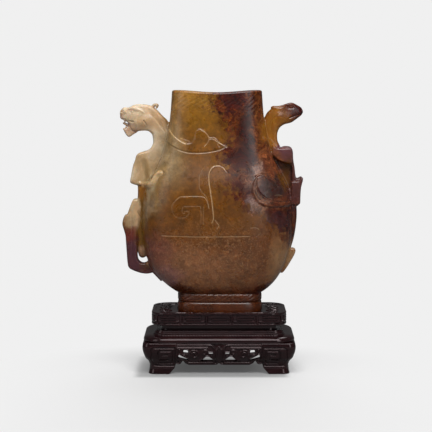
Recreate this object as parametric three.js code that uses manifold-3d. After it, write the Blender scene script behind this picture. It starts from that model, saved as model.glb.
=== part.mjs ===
// A flattened jade vase with two climbing dragons, on a pierced hardwood stand.
// Millimetres, +Z up, the broad front faces -Y. The origin lies on the table top,
// below the middle of the whole object's width and depth.
import * as THREE from "three";
import { mergeVertices } from "three/addons/utils/BufferGeometryUtils.js";
import Module from "manifold-3d";

const wasm = await Module();
wasm.setup();

// Driving dimensions of the whole object
const STAND_HEIGHT = 41;
const SEAT_DEPTH = 1.5;
const VASE_HEIGHT = 150.8;
const STAND_X = 5; // the dragons reach further to the left than to the right
const VASE_X = STAND_X - 1.4;
const FOOT_SHIFT = 1.9; // the hand-cut foot sits a little right of the body's axis
const JOINT_GAP = 0.3;

// Vase, heights counted from its foot
const BELLY_HALF_WIDTH = 51.4;
const BELLY_Z = 62;
const NECK_HALF_WIDTH = 31;
const NECK_DROP = 9; // from the rim down to where the neck stops flaring
const RIM_HALF_WIDTH = 30.4;
const RIM_DIP = 1.6;
const RIM_BEVEL = 3.8;
const FOOT_HALF_WIDTH = 28.5;
const FOOT_SWELL = 0.4;
const FOOT_GROOVE_Z = 7.4;
const FOOT_TOP_Z = 13.2;
const DEPTH_BASE = 4; // the half-depth is this plus a half of the half-width
const WALL_NECK = 5.5;
const WALL_BELLY = 6.5;
const CAVITY_FLOOR_Z = 18;
const CAVITY_RINGS = 14;
const BASE_RECESS = 3;
const FOOT_RING = 5;
const VASE_SIDES = 52;
const CAVITY_SIDES = 36;

// Dragons
const HEAD_TAPER = 0.19; // the heads thin by this share of their reach towards the snout
const LEFT_HEAD_ROOT = 9;
const RIGHT_HEAD_ROOT = 7.7;
const SNOUT_HALF_DEPTH = 2.8;
const SHOULDER_HALF_DEPTH = 5.2;
const STRAP_HALF_DEPTH = 4.4;
const TAIL_HALF_DEPTH = 3.3;
const FORELEG_RELIEF = 1.2;
const HAUNCH_RELIEF = 1.4;

// Stand
const TOP_BOARD = { halfX: 45.7, halfY: 26, radius: 12, thickness: 8.5, edge: 0.6 };
const WAIST = { insetX: 6.2, insetY: 5, radius: 6 };
const WINDOW = { insetX: 13.5, insetY: 11 };
const LEG_TOP_Z = 21.5;
const LEG = { width: 22.9, depth: 19.4, corner: 5, edge: 0.8 };
const TENON = { insetX: 5, insetY: 5.5, half: 2.5, depth: 3.7 };
const SEAT_CLEARANCE = 0.4;
const APRON = { z0: 6.1, thickness: 5, setBack: 0.8, end: 0.3 };
const TONGUE = { length: 2.5, thickness: 2, setBack: 1.5, z0: 10 };

const jade = new THREE.MeshStandardMaterial({ color: 0x8a5f35, roughness: 0.22, metalness: 0 });
const hardwood = new THREE.MeshStandardMaterial({ color: 0x241a1b, roughness: 0.3, metalness: 0 });

// Solids
function solid(geometry) {
  const bare = geometry.index ? geometry.toNonIndexed() : geometry.clone();
  bare.deleteAttribute("normal");
  bare.deleteAttribute("uv");
  const merged = mergeVertices(bare, 1e-4);
  const vertProperties = new Float32Array(merged.attributes.position.array);
  const triVerts = new Uint32Array(merged.index.array);
  return new wasm.Manifold(new wasm.Mesh({ numProp: 3, vertProperties, triVerts }));
}

function geometryOf(manifold) {
  const mesh = manifold.getMesh();
  const geometry = new THREE.BufferGeometry();
  geometry.setAttribute("position", new THREE.BufferAttribute(mesh.vertProperties, 3));
  geometry.setIndex(new THREE.BufferAttribute(mesh.triVerts, 1));
  geometry.computeVertexNormals();
  return geometry;
}

function namedMesh(name, manifold, material) {
  const mesh = new THREE.Mesh(geometryOf(manifold), material);
  mesh.name = name;
  return mesh;
}

// Joins rings of equally many points, lowest first and anticlockwise from above,
// into one closed body with a fan over each end.
function loft(rings) {
  const count = rings[0].length;
  const points = rings.flat();
  const index = [];
  for (let r = 0; r < rings.length - 1; r++) {
    for (let k = 0; k < count; k++) {
      const a = r * count + k;
      const b = r * count + ((k + 1) % count);
      index.push(a, b, b + count, a, b + count, a + count);
    }
  }
  for (const [start, ring, turned] of [
    [0, rings[0], true],
    [(rings.length - 1) * count, rings.at(-1), false],
  ]) {
    const middle = new THREE.Vector3();
    ring.forEach((p) => middle.addScaledVector(p, 1 / count));
    const centre = points.push(middle) - 1;
    for (let k = 0; k < count; k++) {
      const a = start + k;
      const b = start + ((k + 1) % count);
      index.push(centre, turned ? b : a, turned ? a : b);
    }
  }
  const geometry = new THREE.BufferGeometry().setFromPoints(points);
  geometry.setIndex(index);
  return solid(geometry);
}

function superellipse(a, b, power, z, shift, count) {
  return Array.from({ length: count }, (_, k) => {
    const angle = (2 * Math.PI * k) / count;
    const x = a * Math.sign(Math.cos(angle)) * Math.abs(Math.cos(angle)) ** (2 / power);
    const y = b * Math.sign(Math.sin(angle)) * Math.abs(Math.sin(angle)) ** (2 / power);
    return new THREE.Vector3(x + shift, y, z);
  });
}

function roundedRectangle(x0, x1, y0, y1, z, radii, steps = 5) {
  const corners = [
    [x1, y1, 0, radii[0]],
    [x0, y1, 1, radii[1]],
    [x0, y0, 2, radii[2]],
    [x1, y0, 3, radii[3]],
  ];
  return corners.flatMap(([x, y, quarter, r]) => {
    const middleX = x + (quarter === 0 || quarter === 3 ? -r : r);
    const middleY = y + (quarter < 2 ? -r : r);
    return Array.from({ length: steps }, (_, k) => {
      const angle = (Math.PI / 2) * (quarter + k / (steps - 1));
      return new THREE.Vector3(middleX + r * Math.cos(angle), middleY + r * Math.sin(angle), z);
    });
  });
}

function board(halfX, halfY, z, radius, steps) {
  return roundedRectangle(-halfX, halfX, -halfY, halfY, z, Array(4).fill(radius), steps);
}

function box(x0, x1, y0, y1, z0, z1) {
  const geometry = new THREE.BoxGeometry(x1 - x0, y1 - y0, z1 - z0);
  geometry.translate((x0 + x1) / 2, (y0 + y1) / 2, (z0 + z1) / 2);
  return solid(geometry);
}

function outlinePoints(points) {
  return points.map(([x, z]) => new THREE.Vector2(x, z));
}

// A flat carving in the XZ plane, its outline a smooth curve through the points. The half-depth
// is a number or a function of x.
function plate(points, halfDepth, samples) {
  const corners = outlinePoints(points);
  const outline = new THREE.SplineCurve([...corners, corners[0]]).getPoints(samples).slice(0, -1);
  const shape = new THREE.Shape(outline);
  const geometry = new THREE.ExtrudeGeometry(shape, { depth: 2, bevelEnabled: false });
  geometry.translate(0, 0, -1);
  geometry.rotateX(Math.PI / 2);
  const position = geometry.attributes.position;
  for (let k = 0; k < position.count; k++) {
    const depth = typeof halfDepth === "function" ? halfDepth(position.getX(k)) : halfDepth;
    position.setY(k, depth * position.getY(k));
  }
  return solid(geometry);
}

// A tapering limb: each station is [x, y, z, half-height, half-depth], ends rounded.
function limb(stations, outward = [0, 1, 0], sides = 10, steps = 8) {
  const path = new THREE.CatmullRomCurve3(stations.map(([x, y, z]) => new THREE.Vector3(x, y, z)));
  const sizes = new THREE.SplineCurve(stations.map((s) => new THREE.Vector2(s[3], s[4])));
  const reference = new THREE.Vector3(...outward);
  const rings = [];
  const addRing = (t, shrink, advance) => {
    const size = sizes.getPoint(t);
    const tangent = path.getTangent(t);
    const deep = reference.clone().addScaledVector(tangent, -reference.dot(tangent)).normalize();
    const across = new THREE.Vector3().crossVectors(deep, tangent);
    const middle = path.getPoint(t).addScaledVector(tangent, advance * size.x);
    rings.push(
      Array.from({ length: sides }, (_, k) => {
        const angle = (2 * Math.PI * k) / sides;
        return middle
          .clone()
          .addScaledVector(across, shrink * size.x * Math.cos(angle))
          .addScaledVector(deep, -shrink * size.y * Math.sin(angle));
      }),
    );
  };
  addRing(0, 0.35, -0.9);
  addRing(0, 0.78, -0.6);
  for (let k = 0; k <= steps; k++) addRing(k / steps, 1, 0);
  addRing(1, 0.78, 0.6);
  addRing(1, 0.35, 0.9);
  const body = loft(rings);
  return body.volume() > 0 ? body : loft(rings.map((ring) => ring.reverse()));
}

function union(solids) {
  return solids.reduce((whole, next) => whole.add(next));
}

// Vase: its half-width at any height, from the foot band up through the belly to the neck
const NECK_Z = VASE_HEIGHT - NECK_DROP;
const BELLY_RISE = 12; // how upright the sides stand just below the widest place
const SHOULDER_RISE = 38.4; // and how far that runs on above it
const NECK_FLARE = 3.4; // how fast the neck opens towards the shoulder
const NECK_PULL = 12.8;
const lowerBody = new THREE.CubicBezierCurve(
  new THREE.Vector2(FOOT_HALF_WIDTH - 0.5, FOOT_TOP_Z),
  new THREE.Vector2(BELLY_HALF_WIDTH - 0.3, 2 * FOOT_TOP_Z),
  new THREE.Vector2(BELLY_HALF_WIDTH, BELLY_Z - BELLY_RISE),
  new THREE.Vector2(BELLY_HALF_WIDTH, BELLY_Z),
);
const upperBody = new THREE.CubicBezierCurve(
  new THREE.Vector2(BELLY_HALF_WIDTH, BELLY_Z),
  new THREE.Vector2(BELLY_HALF_WIDTH, BELLY_Z + SHOULDER_RISE),
  new THREE.Vector2(NECK_HALF_WIDTH + NECK_FLARE, (BELLY_Z + NECK_Z) / 2 - NECK_PULL),
  new THREE.Vector2(NECK_HALF_WIDTH, NECK_Z),
);
const FOOT_PROFILE = [
  [FOOT_HALF_WIDTH, 0],
  [FOOT_HALF_WIDTH + FOOT_SWELL, 0.27 * FOOT_GROOVE_Z],
  [FOOT_HALF_WIDTH + FOOT_SWELL, 0.54 * FOOT_GROOVE_Z],
  [FOOT_HALF_WIDTH, FOOT_GROOVE_Z - 0.5],
  [FOOT_HALF_WIDTH - 0.8, FOOT_GROOVE_Z],
  [FOOT_HALF_WIDTH - 0.1, FOOT_GROOVE_Z + 0.5],
  [FOOT_HALF_WIDTH - 0.2, FOOT_TOP_Z - 0.8],
];
const vaseProfile = [
  ...outlinePoints(FOOT_PROFILE),
  ...lowerBody.getPoints(12),
  ...upperBody.getPoints(13).slice(1),
  new THREE.Vector2(RIM_HALF_WIDTH + 0.5, VASE_HEIGHT - RIM_BEVEL),
];

function halfWidthAt(z) {
  const above = vaseProfile.findIndex((p) => p.y >= z);
  if (above < 0) return RIM_HALF_WIDTH;
  if (above === 0) return vaseProfile[0].x;
  const [p, q] = [vaseProfile[above - 1], vaseProfile[above]];
  return p.x + ((q.x - p.x) * (z - p.y)) / (q.y - p.y);
}

const halfDepthFor = (halfWidth) => DEPTH_BASE + 0.5 * halfWidth;

function squarenessFor(halfWidth) {
  const fullness = (halfWidth - NECK_HALF_WIDTH) / (BELLY_HALF_WIDTH - NECK_HALF_WIDTH);
  return 4 - 1.4 * THREE.MathUtils.clamp(fullness, 0, 1);
}

function footShiftAt(z) {
  return FOOT_SHIFT * (1 - THREE.MathUtils.smoothstep(z, 0.8 * FOOT_TOP_Z, 2.6 * FOOT_TOP_Z));
}

function vaseRing(halfWidth, z, inset = 0, count = VASE_SIDES) {
  const halfDepth = halfDepthFor(halfWidth);
  const power = squarenessFor(halfWidth);
  return superellipse(halfWidth - inset, halfDepth - inset, power, z, footShiftAt(z), count);
}

function vaseBody() {
  const rim = vaseRing(RIM_HALF_WIDTH, VASE_HEIGHT);
  for (const point of rim) {
    point.z -= RIM_DIP * Math.cos((Math.PI * point.x) / (2 * RIM_HALF_WIDTH)) ** 2;
  }
  return loft([...vaseProfile.map((p) => vaseRing(p.x, p.y)), rim]);
}

// The hollow keeps a wall all round and has a rounded floor.
function vaseCavity() {
  const start = CAVITY_FLOOR_Z + 4;
  const rings = [
    vaseRing(halfWidthAt(CAVITY_FLOOR_Z), CAVITY_FLOOR_Z, WALL_BELLY + 4.5, CAVITY_SIDES),
    vaseRing(halfWidthAt(CAVITY_FLOOR_Z + 1), CAVITY_FLOOR_Z + 1, WALL_BELLY + 2, CAVITY_SIDES),
  ];
  for (let k = 0; k <= CAVITY_RINGS; k++) {
    const z = THREE.MathUtils.lerp(start, VASE_HEIGHT + 2, k / CAVITY_RINGS);
    const wall = THREE.MathUtils.mapLinear(z, start, VASE_HEIGHT, WALL_BELLY, WALL_NECK);
    rings.push(vaseRing(halfWidthAt(z), z, wall, CAVITY_SIDES));
  }
  return loft(rings);
}

function baseRecess() {
  const inset = (z) => vaseRing(FOOT_HALF_WIDTH, z, FOOT_RING);
  return loft([inset(-1), inset(BASE_RECESS)]);
}

// The dragons' points are [out, z], out being how far a point stands out from the body's side,
// so that they stay on it at any size. Limbs go on with their half-height and half-depth.
// The left dragon looks out to the left with its mouth open.
const LEFT_HEAD = [
  [33.5, 131.8], [33.5, 136], [32.1, 138.8], [30.1, 138.6], [28.6, 138], [26.4, 140.7],
  [21.7, 141.4], [14.7, 140.7], [9.7, 140.9], [8.7, 137.6], [5.5, 133.9], [1.5, 128.5], [3.6, 118],
  [9.8, 121], [12.9, 123.2], [19.5, 122.8], [22.8, 121.5], [25.7, 119.1], [30.8, 124.8],
  [28.2, 127.2], [27, 129.2], [29.2, 130],
];
const LEFT_SKULL = [
  [25, 133, 4.4, 6.4], [17.9, 132.5, 6.5, 7.2], [10.7, 130, 6, 6.6], [4.6, 123, 4.6, 6],
];
const LEFT_SHOULDER = [
  [8.1, 126], [10, 120.8], [8.4, 117.3], [8.4, 113.9], [9.7, 110.5], [12.7, 109.4], [16.7, 107],
  [16.9, 105], [16.2, 99.5], [12.5, 88.5], [10.8, 86.4], [5.8, 84.7], [-5.1, 82], [-4.8, 96],
  [-4.2, 108], [-2.9, 120], [0.8, 127.5],
];
const LEFT_STRAP = [
  [6.7, 87], [5.8, 84], [6.7, 76.1], [9.5, 70.6], [11.8, 66.5], [12.9, 63], [13.1, 58.2],
  [11.4, 54.8], [11.3, 47.9], [13, 41], [15, 34.2], [16, 29.4], [13.2, 27.3], [9, 25.6],
  [1.5, 26.4], [-7.3, 31], [-4.1, 33.5], [1.1, 32.2], [6.4, 32.4], [6.4, 36], [3.4, 47.9],
  [2.4, 58], [1.2, 66], [-1.8, 73], [-3.5, 80],
];
const LEFT_PAW = [
  [4.6, 84, 2.6, 3], [-0.4, 82.6, 2.6, 2.6], [-4.1, 83.4, 2.5, 2.4], [-4.7, 86.5, 2.3, 2.2],
  [-2.8, 90, 2.2, 2.2], [-3.9, 93, 2, 2],
];
const LEFT_SPINE = [
  [1.6, 84, 3.2, 6], [1.4, 74, 3, 5.6], [1.2, 62, 2.4, 5], [0.7, 46, 2, 4],
];
const LEFT_FORELEG = [
  [3.8, 131], [-1.6, 124.1], [-5.8, 120.2], [-9.8, 117.6], [-15, 115.6], [-18, 116.2],
  [-18.6, 119.5], [-19.1, 123.6], [-22, 125.4], [-26, 123.2], [-28.8, 119.8], [-32.5, 119.3],
  [-35.5, 117.2], [-42, 113.6], [-38.1, 111.4], [-33.2, 110.2], [-23.5, 109.2], [-12.3, 110.8],
  [-3.7, 114.5], [2.8, 119],
];
// Its ear, brow, cheek and snout
const LEFT_FACE = [
  { depth: 4.2, stations: [[18.4, 138, 1.4, 1.4], [14.6, 139.4, 1.5, 1.5], [11.1, 139.2, 1.4, 1.4]] },
  { depth: 3.8, stations: [[29.2, 137.6, 1.1, 1.2], [25.4, 138.2, 1.3, 1.5], [20.3, 136.8, 1.1, 1.2]] },
  { depth: 3.6, stations: [[20.5, 128.6, 3, 3], [16.6, 129.4, 3.4, 3.2], [13.2, 130.6, 3, 3]] },
  { depth: 1.8, stations: [[32.2, 135.4, 1.8, 2], [30.7, 136.4, 1.9, 2.2]] },
];

// The right dragon looks out to the right over its shoulder.
const RIGHT_HEAD = [
  [26, 136], [24.7, 133.9], [21.4, 131.1], [17.7, 128.7], [12.7, 127.7], [9, 125.6], [7.3, 121.5],
  [6.4, 116.7], [7.1, 113.2], [7.1, 109], [-2.9, 112], [-2.6, 128], [0.3, 132.5], [2, 134.9],
  [5.4, 138], [6.9, 140], [11.9, 139.8], [16.1, 141.1], [18.9, 142.1], [21, 141.4], [23.6, 139.7],
];
const RIGHT_SKULL = [
  [20.8, 137, 3.4, 5.6], [14.1, 134, 5, 6.8], [6.7, 130, 4.6, 6.4],
];
const RIGHT_SHOULDER = [
  [7.7, 112.5], [14.2, 111.9], [12.9, 104.3], [10.2, 96], [7.9, 90.6], [8.9, 89.6], [12.6, 91.1],
  [12, 89.5], [8.8, 86.4], [5.5, 73.4], [2.6, 70.8], [-0.3, 70], [-3.5, 80], [0.3, 98],
  [-0.9, 112], [-0.5, 122], [6.5, 122],
];
const RIGHT_TAIL = [
  [-0.2, 42.8], [4.1, 42.3], [4.6, 39], [3.6, 33.5], [3.1, 28], [2.4, 26], [0, 26.8], [-3.8, 30],
  [-8.3, 38], [-5.9, 44],
];
const RIGHT_SPINE = [
  [1, 74, 3, 5], [0.6, 62, 2.2, 4.6], [-0.4, 50, 2, 4], [-1.8, 38, 2.4, 4],
];
const RIGHT_HAUNCH = [
  [-7.3, 95], [-15, 94.4], [-18.4, 93.1], [-21.4, 90.5], [-24.9, 84.6], [-25.1, 79.3],
  [-23.7, 76.6], [-20.6, 74.3], [-15.4, 72.8], [-8.6, 72.6], [-0.7, 73.6], [6, 78], [5.1, 88],
  [-0.4, 93],
];
// Its ear, brow and cheek
const RIGHT_FACE = [
  { depth: 4.2, stations: [[11.8, 138, 1.2, 1.4], [8.5, 138.8, 1.3, 1.4], [5.5, 138.6, 1.2, 1.4]] },
  { depth: 3.8, stations: [[22.6, 139.4, 1, 1.2], [19, 140.2, 1.2, 1.4], [14.9, 139.2, 1.1, 1.2]] },
  { depth: 3.4, stations: [[14.9, 132, 2.6, 2.6], [10.5, 131.8, 2.8, 2.8]] },
];

// The body's half-depth at a place on its front, to lay a limb on the carved surface
function surfaceDepth(x, z) {
  const halfWidth = halfWidthAt(z);
  const power = squarenessFor(halfWidth);
  const share = Math.min(Math.abs(x - footShiftAt(z)) / halfWidth, 1);
  return halfDepthFor(halfWidth) * (1 - share ** power) ** (1 / power);
}

// Places beside the body: -1 is the left dragon's side, 1 the right one's.
function beside(side, points) {
  return points.map(([out, z, ...sizes]) => [side * (halfWidthAt(z) + out), z, ...sizes]);
}

function middleLimb(side, stations) {
  return limb(beside(side, stations).map(([x, z, half, deep]) => [x, 0, z, half, deep]));
}

// A limb laid on the body's front (face -1) or back (face 1).
function reliefLimb(side, stations, face) {
  const laid = beside(side, stations).map(([x, z, half, relief]) => {
    return [x, face * surfaceDepth(x, z), z, half, relief];
  });
  return limb(laid, [0, face, 0], 8, 8);
}

// Small forms of a head, the same on its front and its back.
function faceForms(side, forms) {
  return forms.flatMap(({ depth, stations }) =>
    [-1, 1].map((face) => {
      const laid = beside(side, stations).map(([x, z, half, deep]) => [x, face * depth, z, half, deep]);
      return limb(laid, [0, face, 0], 6, stations.length);
    }),
  );
}

// A raised panel on the front and the back, keeping to the body's curve.
function raisedPanel(side, outline, rise) {
  const grown = loft(vaseProfile.map((p) => vaseRing(p.x, p.y, -rise)));
  return grown.intersect(plate(beside(side, outline), BELLY_HALF_WIDTH, 2 * outline.length));
}

function dragons() {
  const headDepth = (root) => (x) => {
    const out = Math.abs(x) - NECK_HALF_WIDTH;
    return THREE.MathUtils.clamp(root - HEAD_TAPER * out, SNOUT_HALF_DEPTH, SHOULDER_HALF_DEPTH);
  };
  return union([
    plate(beside(-1, LEFT_HEAD), headDepth(LEFT_HEAD_ROOT), 44),
    middleLimb(-1, LEFT_SKULL),
    ...faceForms(-1, LEFT_FACE),
    plate(beside(-1, LEFT_SHOULDER), SHOULDER_HALF_DEPTH, 36),
    plate(beside(-1, LEFT_STRAP), STRAP_HALF_DEPTH, 50),
    middleLimb(-1, LEFT_SPINE),
    reliefLimb(-1, LEFT_PAW, -1),
    reliefLimb(-1, LEFT_PAW, 1),
    raisedPanel(-1, LEFT_FORELEG, FORELEG_RELIEF),
    plate(beside(1, RIGHT_HEAD), headDepth(RIGHT_HEAD_ROOT), 42),
    middleLimb(1, RIGHT_SKULL),
    ...faceForms(1, RIGHT_FACE),
    plate(beside(1, RIGHT_SHOULDER), SHOULDER_HALF_DEPTH, 38),
    plate(beside(1, RIGHT_TAIL), TAIL_HALF_DEPTH, 26),
    middleLimb(1, RIGHT_SPINE),
    raisedPanel(1, RIGHT_HAUNCH, HAUNCH_RELIEF),
  ]);
}

function jadeVase() {
  const stone = vaseBody().add(dragons()).subtract(vaseCavity()).subtract(baseRecess());
  const mesh = namedMesh("jade_vase", stone, jade);
  mesh.position.set(VASE_X, 0, STAND_HEIGHT - SEAT_DEPTH);
  return mesh;
}

// Stand: how far the drum-shaped outer face stands out past the top board, with its height
const DRUM_PROFILE = [
  [1.9, 0],
  [1.2, 4],
  [1.6, 8],
  [3.7, 10.8],
  [4.8, 13.4],
  [5.5, 15.8],
  [5.8, 18.6],
  [5.4, LEG_TOP_Z],
];
const LEG_TAPER = [5.2, 1.7, 0.4, 0, 0, 0, 0, 0]; // the inner faces draw in towards the foot
const SHOULDER_PROFILE = [
  [5.3, 0],
  [5.1, 1.1],
  [4.2, 2.3],
  [2.6, 3.4],
  [0.2, 4.3],
  [-1.4, 4.7],
  [-1.4, 6],
  [-2.8, 6.2],
  [-3, 7.5],
];
const SHOULDER_TOP_Z = LEG_TOP_Z + SHOULDER_PROFILE.at(-1)[1];
const BOARD_Z = STAND_HEIGHT - TOP_BOARD.thickness;
const waistHalf = { x: TOP_BOARD.halfX - WAIST.insetX, y: TOP_BOARD.halfY - WAIST.insetY };
const drumHalf = DRUM_PROFILE.at(-1)[0];
const legInner = {
  x: TOP_BOARD.halfX + drumHalf - LEG.width,
  y: TOP_BOARD.halfY + drumHalf - LEG.depth,
};
const tenonAt = { x: waistHalf.x - TENON.insetX, y: waistHalf.y - TENON.insetY };

function tenonHoles(z0, z1) {
  const half = TENON.half + JOINT_GAP;
  return union(
    [-1, 1].flatMap((sideX) =>
      [-1, 1].map((sideY) => {
        const [x, y] = [sideX * tenonAt.x, sideY * tenonAt.y];
        return box(x - half, x + half, y - half, y + half, z0, z1);
      }),
    ),
  );
}

function windowBlock(z0, z1) {
  const halfX = waistHalf.x - WINDOW.insetX;
  const halfY = waistHalf.y - WINDOW.insetY;
  return box(-halfX, halfX, -halfY, halfY, z0, z1);
}

function topBoard() {
  const { halfX, halfY, radius, edge } = TOP_BOARD;
  const body = loft([
    board(halfX - edge, halfY - edge, BOARD_Z, radius - edge),
    board(halfX, halfY, BOARD_Z + edge, radius),
    board(halfX, halfY, STAND_HEIGHT - edge, radius),
    board(halfX - edge, halfY - edge, STAND_HEIGHT, radius - edge),
  ]);
  const shift = VASE_X - STAND_X;
  const seatRing = (z) =>
    vaseRing(FOOT_HALF_WIDTH + FOOT_SWELL, 0, -SEAT_CLEARANCE).map(
      (p) => new THREE.Vector3(p.x + shift, p.y, z),
    );
  const seat = loft([seatRing(STAND_HEIGHT - SEAT_DEPTH), seatRing(STAND_HEIGHT + 1)]);
  const mortises = tenonHoles(BOARD_Z - 1, BOARD_Z + TENON.depth + JOINT_GAP);
  return body.subtract(seat).subtract(mortises);
}

function waistFrame() {
  const z0 = SHOULDER_TOP_Z;
  const ring = (z) => board(waistHalf.x, waistHalf.y, z, WAIST.radius);
  const body = loft([ring(z0), ring(BOARD_Z)]);
  return body.subtract(windowBlock(z0 - 1, BOARD_Z + 1)).subtract(tenonHoles(z0 - 1, BOARD_Z + 1));
}

function shoulderFrame() {
  const { halfX, halfY } = TOP_BOARD;
  const rings = SHOULDER_PROFILE.map(([out, rise]) =>
    board(halfX + out, halfY + out, LEG_TOP_Z + rise, 0.75 * TOP_BOARD.radius),
  );
  const window = windowBlock(LEG_TOP_Z - 1, SHOULDER_TOP_Z + 1);
  return loft(rings).subtract(window).subtract(tenonHoles(LEG_TOP_Z - 1, SHOULDER_TOP_Z + 1));
}

// A slab standing on the stand's front line and following the drum face.
function drumSlab(halfLength, thickness, setBack, z0, z1) {
  const inside = DRUM_PROFILE.filter(([, z]) => z > z0 && z < z1);
  const faceAt = (z) => {
    const above = DRUM_PROFILE.findIndex((p) => p[1] >= z);
    const [[xa, za], [xb, zb]] = [DRUM_PROFILE[above - 1], DRUM_PROFILE[above]];
    return xa + ((xb - xa) * (z - za)) / (zb - za);
  };
  const levels = [[faceAt(z0), z0], ...inside, [faceAt(z1), z1]];
  return loft(
    levels.map(([out, z]) => {
      const front = -(TOP_BOARD.halfY + out - setBack);
      return [
        new THREE.Vector3(halfLength, front + thickness, z),
        new THREE.Vector3(-halfLength, front + thickness, z),
        new THREE.Vector3(-halfLength, front, z),
        new THREE.Vector3(halfLength, front, z),
      ];
    }),
  );
}

// Front aprons carry a central pendant between pierced scrolls, side aprons one pair.
// Places near a leg are counted back from it, the others out from the middle.
function frontPattern(leg) {
  return {
    edge: [[0, 7.2], [3.4, 6.1], [leg - 7.6, 6.1], [leg - 3.8, 9.1], [leg - 1.2, 6.6], [leg, 7.4]],
    piercings: [
      [[4.1, 13.7], [7, 13.7], [7, 15.2], [4.1, 15.2]],
      [[leg - 7.6, 14.4], [leg - 4, 14.8], [leg - 4.4, 17.1], [leg - 7.4, 17]],
      [[4.1, 9], [13.6, 9], [11, 10.2], [8.8, 12.4], [6.8, 12.3], [4.1, 10.2]],
      [[leg - 7.6, 9.2], [leg - 0.8, 11.2], [leg - 0.8, 13.2], [leg - 1.8, 13.5], [leg - 7.6, 10.4]],
    ],
  };
}

function sidePattern(leg) {
  return {
    edge: [[0, 7.2], [2.6, 6.1], [leg - 5, 6.1], [leg - 2.6, 8.6], [leg - 1, 6.6], [leg, 7.2]],
    piercings: [
      [[2.6, 13.7], [5.4, 13.7], [5.4, 15.4], [2.6, 15.4]],
      [[2.6, 9], [leg - 5, 9], [leg - 2.4, 11.6], [leg - 2.6, 13], [leg - 6, 11.8], [2.6, 10.6]],
    ],
  };
}

// A straight-sided block through the stand's front line, outlined in the XZ plane.
function frontPrism(points) {
  const outline = new THREE.Shape(outlinePoints(points));
  const depth = TOP_BOARD.halfY + 2 * drumHalf;
  const geometry = new THREE.ExtrudeGeometry(outline, { depth, bevelEnabled: false });
  geometry.rotateX(Math.PI / 2);
  return solid(geometry);
}

function apron(legFace, { edge, piercings }) {
  const halfLength = legFace - APRON.end;
  const tongueEnd = halfLength + TONGUE.length;
  const half = [...edge.slice(1), [tongueEnd, edge.at(-1)[1] + 0.5], [tongueEnd, LEG_TOP_Z]];
  const mirrored = (points) => points.map(([x, z]) => [-x, z]).reverse();
  const outline = frontPrism([edge[0], ...half, ...mirrored(half)]);
  const holes = union([...piercings, ...piercings.map(mirrored)].map(frontPrism));
  const slab = drumSlab(halfLength, APRON.thickness, APRON.setBack, APRON.z0, LEG_TOP_Z);
  const tongue = drumSlab(
    tongueEnd, TONGUE.thickness, APRON.setBack + TONGUE.setBack, TONGUE.z0, LEG_TOP_Z,
  );
  return slab.add(tongue).intersect(outline).subtract(holes);
}

// The slot that an apron's tongue slides down into, cut over the whole front line.
function tongueSlot(legFace) {
  return drumSlab(
    legFace + TONGUE.length,
    TONGUE.thickness + 2 * JOINT_GAP,
    APRON.setBack + TONGUE.setBack - JOINT_GAP,
    TONGUE.z0 - JOINT_GAP,
    LEG_TOP_Z,
  );
}

function turned(manifold, degrees) {
  const geometry = geometryOf(manifold);
  geometry.rotateZ(THREE.MathUtils.degToRad(degrees));
  return solid(geometry);
}

// A side apron is a front-line apron turned to the right and moved out to the stand's end.
function toSide(manifold) {
  const geometry = geometryOf(manifold);
  geometry.rotateZ(Math.PI / 2);
  geometry.translate(TOP_BOARD.halfX - TOP_BOARD.halfY, 0, 0);
  return solid(geometry);
}

function legSolid() {
  const rings = DRUM_PROFILE.map(([out, z], k) => {
    const [x0, x1] = [legInner.x + LEG_TAPER[k], TOP_BOARD.halfX + out];
    const [y0, y1] = [-(TOP_BOARD.halfY + out), -(legInner.y + LEG_TAPER[k])];
    return roundedRectangle(x0, x1, y0, y1, z, [LEG.edge, LEG.edge, LEG.edge, LEG.corner], 4);
  });
  const { half, depth } = TENON;
  const { x, y } = tenonAt;
  const tenon = box(x - half, x + half, -y - half, -y + half, LEG_TOP_Z - 1, BOARD_Z + depth);
  const slots = tongueSlot(legInner.x).add(toSide(tongueSlot(legInner.y)));
  return loft(rings).subtract(slots).add(tenon);
}

function mirrored(manifold, axis) {
  const geometry = geometryOf(manifold).toNonIndexed();
  const scale = new THREE.Vector3(1, 1, 1).setComponent(axis, -1);
  geometry.scale(scale.x, scale.y, scale.z);
  const position = geometry.attributes.position;
  const swapped = new Float32Array(position.array.length);
  for (let t = 0; t < position.count; t += 3) {
    [0, 2, 1].forEach((from, to) => {
      swapped.set([position.getX(t + from), position.getY(t + from), position.getZ(t + from)], 3 * (t + to));
    });
  }
  geometry.setAttribute("position", new THREE.BufferAttribute(swapped, 3));
  return solid(geometry);
}

function stand() {
  const group = new THREE.Group();
  group.position.x = STAND_X;
  const frontApron = apron(legInner.x, frontPattern(legInner.x));
  const sideApron = toSide(apron(legInner.y, sidePattern(legInner.y)));
  const leg = legSolid();
  const leftLeg = mirrored(leg, 0);
  const pieces = {
    top_board: topBoard(),
    waist_frame: waistFrame(),
    shoulder_frame: shoulderFrame(),
    apron_front: frontApron,
    apron_back: turned(frontApron, 180),
    apron_right: sideApron,
    apron_left: turned(sideApron, 180),
    leg_front_right: leg,
    leg_front_left: leftLeg,
    leg_back_right: mirrored(leg, 1),
    leg_back_left: mirrored(leftLeg, 1),
  };
  for (const [name, piece] of Object.entries(pieces)) {
    group.add(namedMesh(name, piece, hardwood));
  }
  return group;
}

const object = new THREE.Group();
object.add(jadeVase(), stand());
export default object;
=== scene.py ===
import math

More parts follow.
